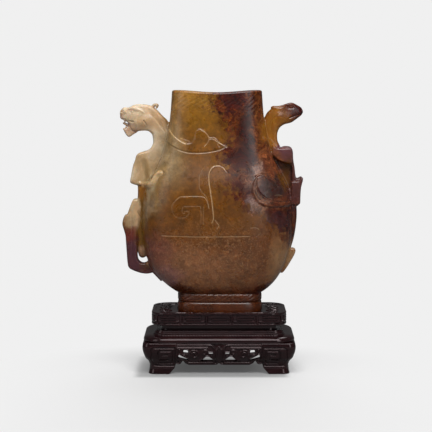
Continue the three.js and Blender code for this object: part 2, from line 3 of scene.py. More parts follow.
import bpy
import numpy as np
import openvdb
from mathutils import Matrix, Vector


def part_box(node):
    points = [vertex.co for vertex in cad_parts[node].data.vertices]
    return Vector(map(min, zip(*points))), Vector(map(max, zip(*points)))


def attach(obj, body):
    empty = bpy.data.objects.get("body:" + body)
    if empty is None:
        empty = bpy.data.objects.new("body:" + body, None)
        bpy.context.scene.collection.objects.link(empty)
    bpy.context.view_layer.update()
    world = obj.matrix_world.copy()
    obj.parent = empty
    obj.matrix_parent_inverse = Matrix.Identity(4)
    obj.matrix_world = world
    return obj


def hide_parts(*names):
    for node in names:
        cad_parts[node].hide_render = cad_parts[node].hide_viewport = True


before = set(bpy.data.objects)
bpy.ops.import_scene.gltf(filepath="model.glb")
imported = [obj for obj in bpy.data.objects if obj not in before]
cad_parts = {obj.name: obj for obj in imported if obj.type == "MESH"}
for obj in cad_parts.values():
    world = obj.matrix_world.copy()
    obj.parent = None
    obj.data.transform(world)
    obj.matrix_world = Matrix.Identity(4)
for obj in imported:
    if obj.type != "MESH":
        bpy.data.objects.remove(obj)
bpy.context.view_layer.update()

MM = 0.001
PALE_AND_HIGHLIGHT = "pale_and_highlight"  # the vase's attribute that says how pale each point is painted: a painted highlight on the carved lines, and the paw's own pale colour
FAR = 9.0  # distance fields are only kept this near to a surface
DRAGON_STEP = 0.34  # how finely the dragons are worked out, in millimetres
CARVING_STEP = 0.26  # and the legs and aprons
COLUMNS = 880  # points round the vase's body and round the stand's top and shoulder

# Places, taken from the frame
vase_low, vase_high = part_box("jade_vase")
board_low, board_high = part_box("top_board")
shoulder_low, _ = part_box("shoulder_frame")
waist_low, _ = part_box("waist_frame")
STAND_X = (board_low.x + board_high.x) / 2 / MM
VASE_X = STAND_X - 1.4  # the belly's middle is a little to the left of the stand's
STAND_ORIGIN = (STAND_X, 0, 0)
VASE_ORIGIN = (VASE_X, 0, vase_low.z / MM)
STAND_HEIGHT = board_high.z / MM
VASE_HEIGHT = (vase_high.z - vase_low.z) / MM

# Vase
BELLY_HALF_WIDTH = 51.4
BELLY_Z = 62
NECK_HALF_WIDTH = 31
NECK_Z = VASE_HEIGHT - 9
RIM_HALF_WIDTH = 30.4
RIM_DIP = 1.6  # how much lower the rim is in the middle of the broad faces
LIP = 1.2  # how high the rim's rounding is
FOOT_HALF_WIDTH = 28.5
FOOT_GROOVE_Z = 7.4
FOOT_TOP_Z = 13.2
FOOT_SHIFT = 1.9  # how far the foot's middle is to the right of the belly's
DEPTH_BASE = 4
WALL = 6
LINING = 0.9 * WALL  # how far in from the outside the hollow begins
CAVITY_FLOOR_Z = 18
BASE_RECESS = 3
FOOT_RING = 5
ROOT_DEPTH = 1.6  # how far the dragons reach into the wall
# The rope bands' lower and upper edges
RIM_BAND = (NECK_Z - 4.6, VASE_HEIGHT - 2.2)
FOOT_BAND = (FOOT_GROOVE_Z + 0.5, FOOT_TOP_Z + 0.2)

# Stand
BOARD = {"half_x": 45.7, "half_y": 26, "radius": 12, "thickness": 8.5}
WAIST_INSET = (6.2, 5)
LEG_TOP_Z = shoulder_low.z / MM
APRON_SET_BACK = 0.8
# How far the legs' outside stands out from under the board at each height
DRUM_PROFILE = [
    (1.9, 0), (1.2, 4), (1.6, 8), (3.7, 10.8), (4.8, 13.4), (5.5, 15.8), (5.8, 18.6), (5.4, LEG_TOP_Z),
]
LEG_WIDTH, LEG_DEPTH = 22.9, 19.4


# Curves

def bezier(corners, count):
    t = np.linspace(0, 1, count)[:, None]
    a, b, c, d = np.array(corners, float)
    return (1 - t) ** 3 * a + 3 * (1 - t) ** 2 * t * b + 3 * (1 - t) * t**2 * c + t**3 * d


def smooth_curve(points, steps, closed=False):
    """A curve through the points, with the given number of steps from each to the next."""
    points = np.array(points, float)
    if closed:
        padded = np.vstack([points[-1:], points, points[:2]])
    else:
        padded = np.vstack([2 * points[:1] - points[1:2], points, 2 * points[-1:] - points[-2:-1]])
    t = np.linspace(0, 1, steps, endpoint=False)[:, None]
    pieces = []
    for a, b, c, d in zip(padded, padded[1:], padded[2:], padded[3:]):
        pieces.append(
            b + 0.5 * t * (c - a + t * (2 * a - 5 * b + 4 * c - d + t * (3 * (b - c) + d - a)))
        )
    curve = np.vstack(pieces)
    return curve if closed else np.vstack([curve, points[-1:]])


def smoothstep(low, high, value):
    t = np.clip((value - low) / (high - low), 0, 1)
    return t * t * (3 - 2 * t)


def outline_distance(u, v, points, closed=True):
    """The distance to a line of points in the plane, negative inside it if it is closed."""
    points = np.asarray(points, float)
    ends = np.roll(points, -1, axis=0) if closed else points[1:]
    best = np.full(np.broadcast(u, v).shape, 1e6)
    inside = np.zeros(best.shape, bool)
    for (ax, ay), (bx, by) in zip(points, ends):
        ex, ey = bx - ax, by - ay
        length_squared = ex * ex + ey * ey
        if length_squared < 1e-9:
            continue
        t = np.clip(((u - ax) * ex + (v - ay) * ey) / length_squared, 0, 1)
        best = np.minimum(best, (u - ax - t * ex) ** 2 + (v - ay - t * ey) ** 2)
        if closed and ey != 0:
            crosses = (ay > v) != (by > v)
            inside ^= crosses & (u < ex * (v - ay) / ey + ax)
    best = np.sqrt(best)
    return np.where(inside, -best, best)


def line_distance(u, v, points):
    return outline_distance(u, v, points, closed=False)


def spiral(middle, radius, turns, start):
    """A scroll that winds in from the radius to a quarter of it, ten points to a turn."""
    t = np.linspace(0, 1, int(10 * abs(turns)) + 1)
    angle = start + 2 * math.pi * turns * t
    reach = radius * (1 - 0.75 * t)
    return np.column_stack([middle[0] + reach * np.cos(angle), middle[1] + reach * np.sin(angle)])


# Meshes

BODIES = {"vase": (VASE_ORIGIN, "jade"), "stand": (STAND_ORIGIN, "hardwood")}


def add_piece(name, points, quads, tris, body, nodes, material, crease=180):
    """A smooth-shaded mesh from points in millimetres in its body's own frame. Edges that bend
    by more degrees than the crease stay sharp."""
    origin, slot = BODIES[body]
    mesh = bpy.data.meshes.new(name)
    quads = np.asarray(quads, np.int32).reshape(-1, 4)
    tris = np.asarray(tris, np.int32).reshape(-1, 3)
    places = (np.asarray(points, float) + np.array(origin)) * MM
    corners = np.concatenate([quads.ravel(), tris.ravel()])
    starts = np.concatenate([4 * np.arange(len(quads)), 4 * len(quads) + 3 * np.arange(len(tris))])
    mesh.vertices.add(len(places))
    mesh.vertices.foreach_set("co", places.astype(np.float32).ravel())
    mesh.loops.add(len(corners))
    mesh.loops.foreach_set("vertex_index", corners)
    mesh.polygons.add(len(starts))
    mesh.polygons.foreach_set("loop_start", starts.astype(np.int32))
    mesh.update(calc_edges=True)
    mesh.validate()
    mesh.shade_smooth()
    if crease < 180:
        mesh.set_sharp_from_angle(angle=math.radians(crease))
    mesh.materials.append(material)
    piece = bpy.data.objects.new(name, mesh)
    bpy.context.scene.collection.objects.link(piece)
    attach(piece, body)
    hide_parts(*nodes)
    return piece


def grid_quads(rows, columns):
    """Quads between rings of points, each ring closed, from the first ring to the last."""
    k = np.arange(columns)
    after = (k + 1) % columns
    base = np.arange(rows - 1)[:, None] * columns
    quads = np.stack([base + k, base + after, base + columns + after, base + columns + k], axis=-1)
    return quads.reshape(-1, 4)


def closed_grid(rings):
    """Points, quads and triangles of a body made of rings, with a fan over each end."""
    rows, columns, _ = rings.shape
    middles = np.array([rings[0].mean(axis=0), rings[-1].mean(axis=0)])
    points = np.vstack([rings.reshape(-1, 3), middles])
    k = np.arange(columns)
    after = (k + 1) % columns
    last = (rows - 1) * columns
    first_fan = np.stack([np.full(columns, len(points) - 2), after, k], axis=1)
    last_fan = np.stack([np.full(columns, len(points) - 1), last + k, last + after], axis=1)
    return points, grid_quads(rows, columns), np.vstack([first_fan, last_fan])


def grid_normals(rings):
    """The outward direction at each point of rings that go up, anticlockwise as seen from above."""
    along = np.roll(rings, -1, axis=1) - np.roll(rings, 1, axis=1)
    up = np.gradient(rings, axis=0)
    normal = np.cross(along, up)
    return normal / np.maximum(np.linalg.norm(normal, axis=2, keepdims=True), 1e-9)


# Distances, and fields of them

def smooth_min(a, b, blend):
    """The lesser of two distances, rounded where they are less than the blend apart."""
    if blend == 0:
        return np.minimum(a, b)
    h = np.clip(0.5 + 0.5 * (b - a) / blend, 0, 1)
    return b + (a - b) * h - blend * h * (1 - h)


def smooth_max(a, b, blend):
    return -smooth_min(-a, -b, blend)


def rounded(across, along, radius):
    """The distance to a rounded corner, from how far a place is past its two centre lines."""
    outside = np.hypot(np.maximum(across, 0), np.maximum(along, 0))
    return outside + np.minimum(np.maximum(across, along), 0) - radius


class Field:
    """A block of space that holds the distance to a shape, built up by adding and cutting."""

    def __init__(self, low, high, step):
        self.low = np.array(low, float)
        self.step = step
        self.axes = [np.arange(a, b + step, step) for a, b in zip(low, high)]
        self.distance = np.full([len(axis) for axis in self.axes], FAR, np.float32)

    def window(self, low, high):
        """The part of the block between two corners, as slices and as coordinates."""
        slices, coordinates = [], []
        for k, axis in enumerate(self.axes):
            first = int(np.clip(np.floor((low[k] - self.low[k]) / self.step), 0, len(axis) - 1))
            last = int(np.clip(np.ceil((high[k] - self.low[k]) / self.step) + 1, 1, len(axis)))
            slices.append(slice(first, last))
            shape = [1, 1, 1]
            shape[k] = last - first
            coordinates.append(axis[first:last].reshape(shape))
        return tuple(slices), coordinates

    def places(self):
        """The coordinates of the whole block."""
        return self.window(self.low, [axis[-1] for axis in self.axes])[1]

    def merge(self, shape, blend, cut=False):
        """Joins a shape to the block or cuts it out, rounded over the blend."""
        distance_at, low, high = shape
        margin = blend + 3 * self.step
        slices, (x, y, z) = self.window(np.array(low) - margin, np.array(high) + margin)
        near = np.asarray(distance_at(x, y, z), np.float32)
        held = self.distance[slices]
        if cut:
            self.distance[slices] = -smooth_min(-held, near, blend)
        else:
            self.distance[slices] = smooth_min(held, near, blend)

    def add(self, *shapes, blend=0.0):
        for shape in shapes:
            self.merge(shape, blend)

    def cut(self, *shapes, blend=0.0):
        for shape in shapes:
            self.merge(shape, blend, cut=True)

    def surface(self):
        """Points, quads and triangles of the shape's surface."""
        grid = openvdb.FloatGrid(background=FAR)
        padded = np.pad(self.distance / self.step, 1, constant_values=FAR)
        grid.copyFromArray(np.clip(padded, -FAR, FAR).astype(np.float32), tolerance=0.0)
        points, tris, quads = grid.convertToPolygons(isovalue=0.0, adaptivity=0.0)
        return self.low + (points - 1) * self.step, quads, tris


# Shapes for a field: a distance function and the corners that hold the shape

def limb(stations, steps=5, flatten=1.0):
    """A soft tapering limb through stations of x, y, z and radius, widened in Y if flatten is
    below 1."""
    path = smooth_curve(stations, steps)
    low = (path[:, :3] - path[:, 3:]).min(axis=0)
    high = (path[:, :3] + path[:, 3:]).max(axis=0)

    def distance_at(x, y, z):
        best = np.full(np.broadcast(x, y, z).shape, FAR, np.float32)
        for (ax, ay, az, ar), (bx, by, bz, br) in zip(path, path[1:]):
            ex, ey, ez = bx - ax, (by - ay) * flatten, bz - az
            squared = max(ex * ex + ey * ey + ez * ez, 1e-6)
            t = np.clip(((x - ax) * ex + (y - ay) * flatten * ey + (z - az) * ez) / squared, 0, 1)
            reach = (
                (x - ax - t * ex) ** 2 + ((y - ay) * flatten - t * ey) ** 2 + (z - az - t * ez) ** 2
            )
            np.minimum(best, np.sqrt(reach) - (ar + t * (br - ar)), out=best)
        return best

    return distance_at, low, high


def ball(x, y, z, radius):
    return limb([(x, y, z, radius), (x + 0.01, y, z, radius)], 1)


def both(stations):
    """The same limb on the front and on the back."""
    mirrored = [(x, -y, z, radius) for x, y, z, radius in stations]
    return limb(stations), limb(mirrored)


DEEPEST = 11  # no slab of the carvings is deeper, from its middle


def slab_corners(edge, half_depth):
    (low_x, low_z), (high_x, high_z) = edge.min(axis=0), edge.max(axis=0)
    return np.array([low_x, -half_depth, low_z]), np.array([high_x, half_depth, high_z])


def plate(outline, half_depth, rounding):
    """A carving cut out of a flat slab. The half-depth is a number or a function of x."""
    edge = smooth_curve(outline, 6, closed=True)
    low, high = slab_corners(edge, DEEPEST if callable(half_depth) else half_depth)

    def distance_at(x, y, z):
        half = half_depth(x) if callable(half_depth) else half_depth
        across = outline_distance(x, z, edge) + rounding
        return rounded(across, np.abs(y) - (half - rounding), rounding)

    return distance_at, low, high


def pocket(outline, floor):
    """A hollow sunk from the front and from the back, down to a half-depth."""
    edge = smooth_curve(outline, 6, closed=True)
    low, high = slab_corners(edge, DEEPEST)

    def distance_at(x, y, z):
        return np.maximum(outline_distance(x, z, edge), floor - np.abs(y))

    return distance_at, low, high


# Vase body

lower_body = bezier(
    [(FOOT_HALF_WIDTH - 0.5, FOOT_TOP_Z), (BELLY_HALF_WIDTH - 0.3, 2 * FOOT_TOP_Z),
     (BELLY_HALF_WIDTH, BELLY_Z - 12), (BELLY_HALF_WIDTH, BELLY_Z)], 60,
)
upper_body = bezier(
    [(BELLY_HALF_WIDTH, BELLY_Z), (BELLY_HALF_WIDTH, BELLY_Z + 38.4),
     (NECK_HALF_WIDTH + 3.4, (BELLY_Z + NECK_Z) / 2 - 12.8), (NECK_HALF_WIDTH, NECK_Z)], 80,
)
foot_profile = [
    (FOOT_HALF_WIDTH - 0.6, 0), (FOOT_HALF_WIDTH, 0.6), (FOOT_HALF_WIDTH + 0.4, 2),
    (FOOT_HALF_WIDTH + 0.4, 4.2), (FOOT_HALF_WIDTH + 0.1, 6.4), (FOOT_HALF_WIDTH - 0.3, 7),
    (FOOT_HALF_WIDTH - 1, FOOT_GROOVE_Z), (FOOT_HALF_WIDTH - 0.4, 7.8), (FOOT_HALF_WIDTH - 0.2, 8.4),
    (FOOT_HALF_WIDTH - 0.2, FOOT_TOP_Z - 0.5),
]
body_profile = np.vstack([foot_profile, lower_body, upper_body[1:], [[RIM_HALF_WIDTH, VASE_HEIGHT]]])


def half_width_at(z):
    return np.interp(z, body_profile[:, 1], body_profile[:, 0])


def half_depth_for(half_width):
    return DEPTH_BASE + 0.5 * half_width


def squareness_for(half_width):
    """The power of a ring's superellipse, 4 at the neck and foot and 2.6 at the belly."""
    fullness = (half_width - NECK_HALF_WIDTH) / (BELLY_HALF_WIDTH - NECK_HALF_WIDTH)
    return 4 - 1.4 * np.clip(fullness, 0, 1)


def foot_shift_at(z):
    return FOOT_SHIFT * (1 - smoothstep(0.8 * FOOT_TOP_Z, 2.6 * FOOT_TOP_Z, z))


def surface_depth(x, z):
    """How far in front of the middle the body's front surface lies."""
    half_width = half_width_at(z)
    power = squareness_for(half_width)
    share = np.minimum(np.abs(x - foot_shift_at(z)) / half_width, 1)
    return half_depth_for(half_width) * (1 - share**power) ** (1 / power)


RING_SAMPLES = 12001  # a ring is followed this finely before its points are chosen


def vase_ring(half_width, z, inset, columns):
    """One ring of the body, its points closer set on the broad faces, and how far round each
    point lies, as a share of the ring's length."""
    angle = np.linspace(0, 2 * math.pi, RING_SAMPLES)
    power = squareness_for(half_width)
    half_depth = half_depth_for(half_width)
    x = (half_width - inset) * np.sign(np.cos(angle)) * np.abs(np.cos(angle)) ** (2 / power)
    y = (half_depth - inset) * np.sign(np.sin(angle)) * np.abs(np.sin(angle)) ** (2 / power)
    step = np.hypot(np.diff(x), np.diff(y))
    facing = np.abs(y[1:] + y[:-1]) / 2 / (half_depth - inset)
    weight = 0.35 + 0.65 * smoothstep(0.3, 0.7, facing)
    weighted = np.concatenate([[0], np.cumsum(step * weight)])
    length = np.concatenate([[0], np.cumsum(step)])
    at = np.linspace(0, weighted[-1], columns, endpoint=False)
    x, y = np.interp(at, weighted, x) + foot_shift_at(z), np.interp(at, weighted, y)
    share = np.interp(at, weighted, length) / length[-1]
    return np.column_stack([x, y, np.full(columns, z)]), share


# The front's carving, as x and z on the vase: panels, raised first, and lines engraved after
FORELEG = [
    (-36, 131), (-31.6, 124.1), (-28.1, 120.2), (-24.7, 117.6), (-20, 115.6), (-16.8, 116.2),
    (-15.4, 119.5), (-14.2, 123.6), (-11, 125.4), (-7.4, 123.2), (-5.2, 119.8), (-1.6, 119.3),
    (0.9, 117.2), (3.4, 115.2), (6.6, 113.6), (2, 111.4), (-3.3, 110.2), (-8, 109.5),
    (-13.3, 109.2), (-19.3, 109.5), (-24, 110.8), (-27.4, 112), (-31.5, 114.5), (-37, 119),
]
HAUNCH = [
    (36.4, 93), (32, 94.6), (28.7, 94.6), (26, 93.1), (24.3, 90.5), (23.3, 86.6), (23.3, 82.7),
    (24.6, 79.3), (26.6, 76.6), (30, 74.3), (35.4, 72.8), (42.2, 72.6), (51, 73.6), (49, 79.6),
    (45.4, 84.6), (41.3, 89),
]
RECESS = [
    (38.4, 107.6), (41.4, 104), (46, 102), (51.6, 100.6), (57, 99), (57, 82), (52.4, 79.8), (49.8, 82),
    (46.8, 87), (44.2, 91.4), (42, 96.4), (40, 102),
]
SHOULDER_BAND = [
    (30.6, 120), (33.6, 118), (37.4, 113.6), (41, 111.8), (47, 112), (52, 112), (52, 101.4),
    (46, 102.2), (41.4, 104.2), (37.8, 108), (34.4, 112.6), (31.6, 116.6),
]
PAW_HOLLOW = [(-48, 93.4), (-46.2, 93.6), (-44.8, 91.6), (-45.2, 89.4), (-46.8, 88.8), (-48.4, 90.4)]
# Engraved lines, from the ones painted palest, a painted highlight where they catch the light, to the ones
# that hardly show
BRIGHT_LINES = [
    [(-33.2, 127.7), (-31.4, 123.6), (-28.3, 119.8), (-24.7, 117), (-20.6, 115)],
    [(2, 100.8), (-2, 100.5), (-4, 98.5), (-5.3, 95.2), (-5.3, 90), (-4.6, 86), (-4, 81.4),
     (-3.3, 76.8), (-2.7, 71.5), (-2.3, 66.2), (-3.3, 62.9)],
]
MIDDLE_LINES = [
    [(-27.3, 78), (-24.6, 80), (-19.3, 80.5), (-10, 80.5), (-7.3, 78.8), (-6, 76.2), (-5.3, 72.8)],
    [(-11, 124.9), (-7.2, 122.3), (-5.3, 119), (-6.2, 116), (-8.3, 113.7)],
    [(-5.3, 118.4), (-2.4, 118.4), (0.6, 116.4), (3.4, 114.8), (6.6, 113)],
    [(-27.4, 111.8), (-24, 110.4), (-19.3, 109.2), (-13.3, 108.9), (-8, 109.2), (-3.3, 109.9),
     (2, 111.2), (6.8, 113.6)],
    [(-1.3, 64.9), (0.7, 62.2), (1.3, 60.9), (0, 58.9)],
    [(-37, 53.9), (-10, 53.6), (22, 53.9)],
]
FAINT_LINES = [
    [(2, 100.8), (4.4, 99.4), (6.3, 96.8)],
    [(-9.3, 99.2), (-11.3, 94.6), (-11.6, 89.3), (-11.3, 86), (-9.3, 82.8), (-7.3, 80.8), (-6, 78.1)],
    [(-21.9, 73.9), (-17, 74), (-12, 74), (-10.6, 72.8), (-10.6, 62.2)],
    [(-9, 74), (-9, 62.2)],
    [(-27.3, 78), (-30, 74.6), (-30, 71.3), (-28.6, 68), (-26, 66.3), (-21.9, 66.4), (-19.3, 68.1),
     (-18.6, 70.1), (-19.6, 70.8), (-21.4, 70.4)],
    [(-22.6, 73.4), (-23.3, 71.4), (-22.6, 69.4), (-21.3, 69.4)],
    [(22.5, 59.6), (25.6, 59.8), (28.4, 58), (28.6, 55.6), (26.4, 53.8)],
    [(-14.7, 121), (-14.7, 118.3)],
    [(0.7, 117), (0.6, 115), (1.6, 113.2)],
    [(-24, 118.9), (-18, 117)],
]
HAIR = [
    [(26.4, 91.4), (26.2, 87), (27.8, 83.4), (31.2, 79.8), (36, 77.4), (41.6, 76), (47, 75.8)],
    [(26, 93.4), (28.7, 95), (32, 95), (36.6, 93.4), (41.6, 89.2), (45.8, 84.8), (49, 80)],
]
STRANDS = [
    [(24.5, 83.6), (26, 80.2), (28.8, 77.4), (32.6, 75.6)],
    [(25.4, 85.4), (27.2, 81.6), (30.2, 78.6), (34.2, 76.6)],
    [(38, 80.6), (40.6, 80.8), (42.8, 80.2)],
]


CARVED_FROM = (5, 11)  # the carving fades out between these distances from the middle plane
# Each panel's rise, below 0 if it is sunk, and how wide its edge slopes
PANELS = [
    (FORELEG, 0.36, 1), (HAUNCH, 1.2, 1.1), (SHOULDER_BAND, 0.9, 0.9), (RECESS, -3.2, 0.7),
    (PAW_HOLLOW, -1.2, 1.2),
]
# Each group's depth and width, and how pale its lines are painted, as a painted highlight
ENGRAVING = [
    (BRIGHT_LINES, 0.25, 0.28, 0.5), (MIDDLE_LINES, 0.22, 0.27, 0.26),
    (FAINT_LINES, 0.18, 0.26, 0.1), (STRANDS, 0.22, 0.26, 0.14), (HAIR, 0.4, 0.4, 0),
]


def front_carving(x, y, z):
    """How far the carving stands proud of the broad faces, the same on both, and how pale its lines are
    painted, a painted highlight where they catch the light. What is raised or engraved fades out on the
    narrow sides."""
    height, pale_and_highlight_share = np.zeros(x.shape), np.zeros(x.shape)
    broad = smoothstep(*CARVED_FROM, np.abs(y))
    for outline, rise, slope in PANELS:
        distance = outline_distance(x, z, smooth_curve(outline, 4, closed=True))
        share = broad if rise > 0 else 1
        height += share * rise * smoothstep(0.3, -slope, distance)
    for lines, depth, width, pale in ENGRAVING:
        for points in lines:
            line = smooth_curve(points, 5)
            (low_x, low_z), (high_x, high_z) = line.min(axis=0) - 1.5, line.max(axis=0) + 1.5
            near = (x > low_x) & (x < high_x) & (z > low_z) & (z < high_z)
            groove = broad[near] * np.exp(-((line_distance(x[near], z[near], line) / width) ** 2))
            height[near] -= depth * groove
            pale_and_highlight_share[near] = np.maximum(pale_and_highlight_share[near], pale * groove)
    return height, pale_and_highlight_share


def rope_band(share, z, band, strands, slant, bulge, depth, border):
    """How far a twisted rope between two heights stands out, with a groove along each border."""
    low, high = band
    middle, half = (low + high) / 2, (high - low) / 2
    level = np.clip(1 - ((z - middle) / half) ** 2, 0, 1)
    strand = np.abs(np.sin(math.pi * (strands * share - slant * (z - middle) / half)))
    rope = np.sqrt(level) * (bulge + depth * (strand**0.6 - 1))
    edges = np.exp(-(((z - low) / 0.5) ** 2)) + np.exp(-(((z - high) / 0.5) ** 2))
    return rope - border * edges


# How many rings lie between two heights on the outside: most where there is carving
RING_COUNTS = [(0, 1, 5), (1, 6.6, 9), (6.6, 14, 26), (14, 48, 48), (48, 104, 210), (104, 132, 104)]


def vase_rows():
    rows = [np.linspace(low, high, count, endpoint=False) for low, high, count in RING_COUNTS]
    return np.concatenate([*rows, np.linspace(RING_COUNTS[-1][1], VASE_HEIGHT - LIP, 56)])


def base_rings(columns):
    """The recessed underside and the foot ring, from the middle out to the edge."""
    profile = (
        (BASE_RECESS, 14), (BASE_RECESS, 8), (BASE_RECESS - 0.5, FOOT_RING + 0.5), (0.6, FOOT_RING),
        (0, FOOT_RING - 0.6), (0, 2), (0, 1),
    )
    return [vase_ring(FOOT_HALF_WIDTH, z, inset, columns)[0] for z, inset in profile]


def outside_rings(columns):
    """The outside with its carving and its two rope bands, and how pale each point is painted as a line
    highlight.
    """
    rings, share = zip(*(vase_ring(half_width_at(z), z, 0, columns) for z in vase_rows()))
    rings, share = np.array(rings), np.array(share)
    x, y, z = (rings[..., k] for k in range(3))
    height, pale_and_highlight_share = front_carving(x, y, z)
    height += rope_band(share, z, RIM_BAND, strands=40, slant=1.9, bulge=0, depth=0.16, border=0.05)
    height += rope_band(share, z, FOOT_BAND, strands=34, slant=1.1, bulge=0.4, depth=0.32, border=0.18)
    return rings + grid_normals(rings) * height[..., None], pale_and_highlight_share


def lip_rings(columns):
    """The rounded lip, from the outside over to the inside."""
    rings = []
    for angle in np.linspace(0, math.pi, 9)[1:-1]:
        inset = LINING / 2 * (1 - math.cos(angle))
        height = VASE_HEIGHT - LIP + LIP * math.sin(angle) ** 0.6
        rings.append(vase_ring(RIM_HALF_WIDTH, height, inset, columns)[0])
    return rings


def inside_rings(columns):
    """The hollow, from below the lip down to the middle of its floor."""
    heights = np.linspace(VASE_HEIGHT - 1.6, CAVITY_FLOOR_Z + 4, 40)
    profile = [(z, LINING) for z in heights]
    for rise, inset in ((2, WALL + 1), (0.7, WALL + 3), (0, WALL + 7), (-0.3, WALL + 14)):
        profile.append((CAVITY_FLOOR_Z + rise, inset))
    return [vase_ring(half_width_at(z), z, inset, columns)[0] for z, inset in profile]


def vase_body_rings(columns):
    """Rings from the middle of the underside, up the outside and down the inside, and how pale each point is
    painted as a line highlight. The rim dips in the middle of the broad faces."""
    base = base_rings(columns)
    outside, pale_and_highlight_share = outside_rings(columns)
    rings = np.concatenate([base, outside, lip_rings(columns), inside_rings(columns)])
    pale_and_highlight = np.zeros(rings.shape[:2])
    pale_and_highlight[len(base): len(base) + len(outside)] = pale_and_highlight_share
    across = np.clip(rings[..., 0] / RIM_HALF_WIDTH, -1, 1)
    dip = RIM_DIP * np.cos(across * math.pi / 2) ** 2
    rings[..., 2] -= dip * smoothstep(NECK_Z - 8, VASE_HEIGHT - LIP, rings[..., 2])
    return rings, pale_and_highlight


def add_vase_body(material):
    rings, pale_and_highlight = vase_body_rings(COLUMNS)
    mesh = closed_grid(rings)
    piece = add_piece("vase_body", *mesh, "vase", ["jade_vase"], material)
    set_pale_and_highlight(piece, np.append(pale_and_highlight.ravel(), [0, 0]))


def set_pale_and_highlight(piece, amounts):
    """Says for each point of a piece how pale it is painted, from 0 to 1: a painted highlight on the carved
    lines, the paw's own pale colour on the paw.
    """
    attribute = piece.data.attributes.new(PALE_AND_HIGHLIGHT, "FLOAT", "POINT")
    attribute.data.foreach_set("value", np.asarray(amounts, np.float32))


def body_distance(x, y, z):
    """About how far a place is from the body's undecorated surface, for a whole block."""
    half_width = half_width_at(z)
    half_depth = half_depth_for(half_width)
    power = squareness_for(half_width)
    share = np.abs((x - foot_shift_at(z)) / half_width) ** power + np.abs(y / half_depth) ** power
    share = share ** (1 / power)
    step = x.ravel()[1] - x.ravel()[0]
    slopes = np.gradient(share, step)
    return (share - 1) / np.maximum(np.sqrt(sum(slope**2 for slope in slopes)), 1e-3)


def blend_into_body(field, fillet):
    """Lets a carving grow out of the vase's surface with a fillet, and cuts off its root."""
    x, y, z = field.places()
    body = body_distance(x, y, z)
    carving = field.distance.copy()
    joined = smooth_min(carving, body + 0.06, fillet)
    grown = np.maximum(joined, carving - fillet)
    field.distance = np.maximum(grown, -(body + ROOT_DEPTH)).astype(np.float32)


# The left dragon, looking out to the left with its mouth open

LEFT_HEAD = [
    (-65.7, 131.8), (-65.8, 134.6), (-65, 137.4), (-63.2, 139), (-61.4, 138.6), (-60.2, 137.7),
    (-59, 139.2), (-56.6, 140.6), (-52.9, 141.2), (-48.1, 140.9), (-44, 139.6), (-40.6, 137),
    (-37.1, 133.2), (-33.6, 129.7), (-31.5, 123), (-33.7, 115), (-40, 114), (-43, 117.4),
    (-43.7, 120.8), (-46.1, 123), (-50, 123.3), (-55.7, 122.9), (-59, 125), (-59.9, 128.2),
    (-61.9, 130), (-64.2, 130.7),
]
LEFT_JAW = [
    (-63.9, 124.9), (-61.9, 124.7), (-59.6, 126.2), (-55.5, 126.8), (-53, 124.5), (-54.6, 122),
    (-56.4, 121), (-59.5, 119), (-61.4, 120), (-62.8, 122.2),
]
LEFT_SHOULDER = [
    (-38, 126), (-42, 121.5), (-43, 117.3), (-43.7, 113.9), (-46.1, 110.5), (-49.5, 109.2), (-53, 108),
    (-54.8, 106.4), (-55.8, 103), (-57.1, 99.5), (-58.4, 93), (-59.1, 88.8), (-58.2, 87.4),
    (-54.5, 86.2), (-50, 85.4), (-44, 84.6), (-38, 96), (-33, 108), (-31, 120),
]
LEFT_STRAP = [
    (-53.4, 87), (-53.7, 80), (-54.2, 76.8), (-56.4, 76.6), (-57.8, 75.2), (-59.8, 70.2), (-61.4, 66.2),
    (-63, 65.4), (-64.2, 62.4), (-64.5, 59.2), (-63.7, 56), (-62.6, 52), (-62.2, 47), (-61.8, 41),
    (-61.2, 33), (-60.2, 29.6), (-57, 27.6), (-51.5, 25.8), (-46.5, 25.6), (-42, 27.4), (-40, 31),
    (-42, 34.5), (-45.5, 36), (-47.4, 33.8), (-50, 32.6), (-52.8, 33.6), (-54.4, 37), (-54.6, 48),
    (-54.2, 56), (-52.5, 64), (-50, 72), (-47, 80),
]


# The paw on the vase's front, as x, z and radius
LEFT_PAW = [
    (-50.2, 87.2, 1.8), (-48.2, 86.6, 2), (-45.8, 87, 2), (-43.6, 88.6, 1.9), (-42, 91, 1.8),
    (-40.8, 93.4, 1.6), (-39.2, 95.2, 1.4), (-37.8, 95.4, 0.9),
]


def left_depth(x):
    return np.interp(x, [-66, -61, -56, -49, -38, -32], [2.6, 3.4, 4.6, 5.2, 5.2, 5])


def left_dragon():
    field = Field((-67.5, -21, 18), (-27, 21, 143), DRAGON_STEP)
    add_left_head(field)
    add_left_shoulder(field)
    add_left_paw(field)
    add_left_strap(field)
    blend_into_body(field, 1.8)
    return field


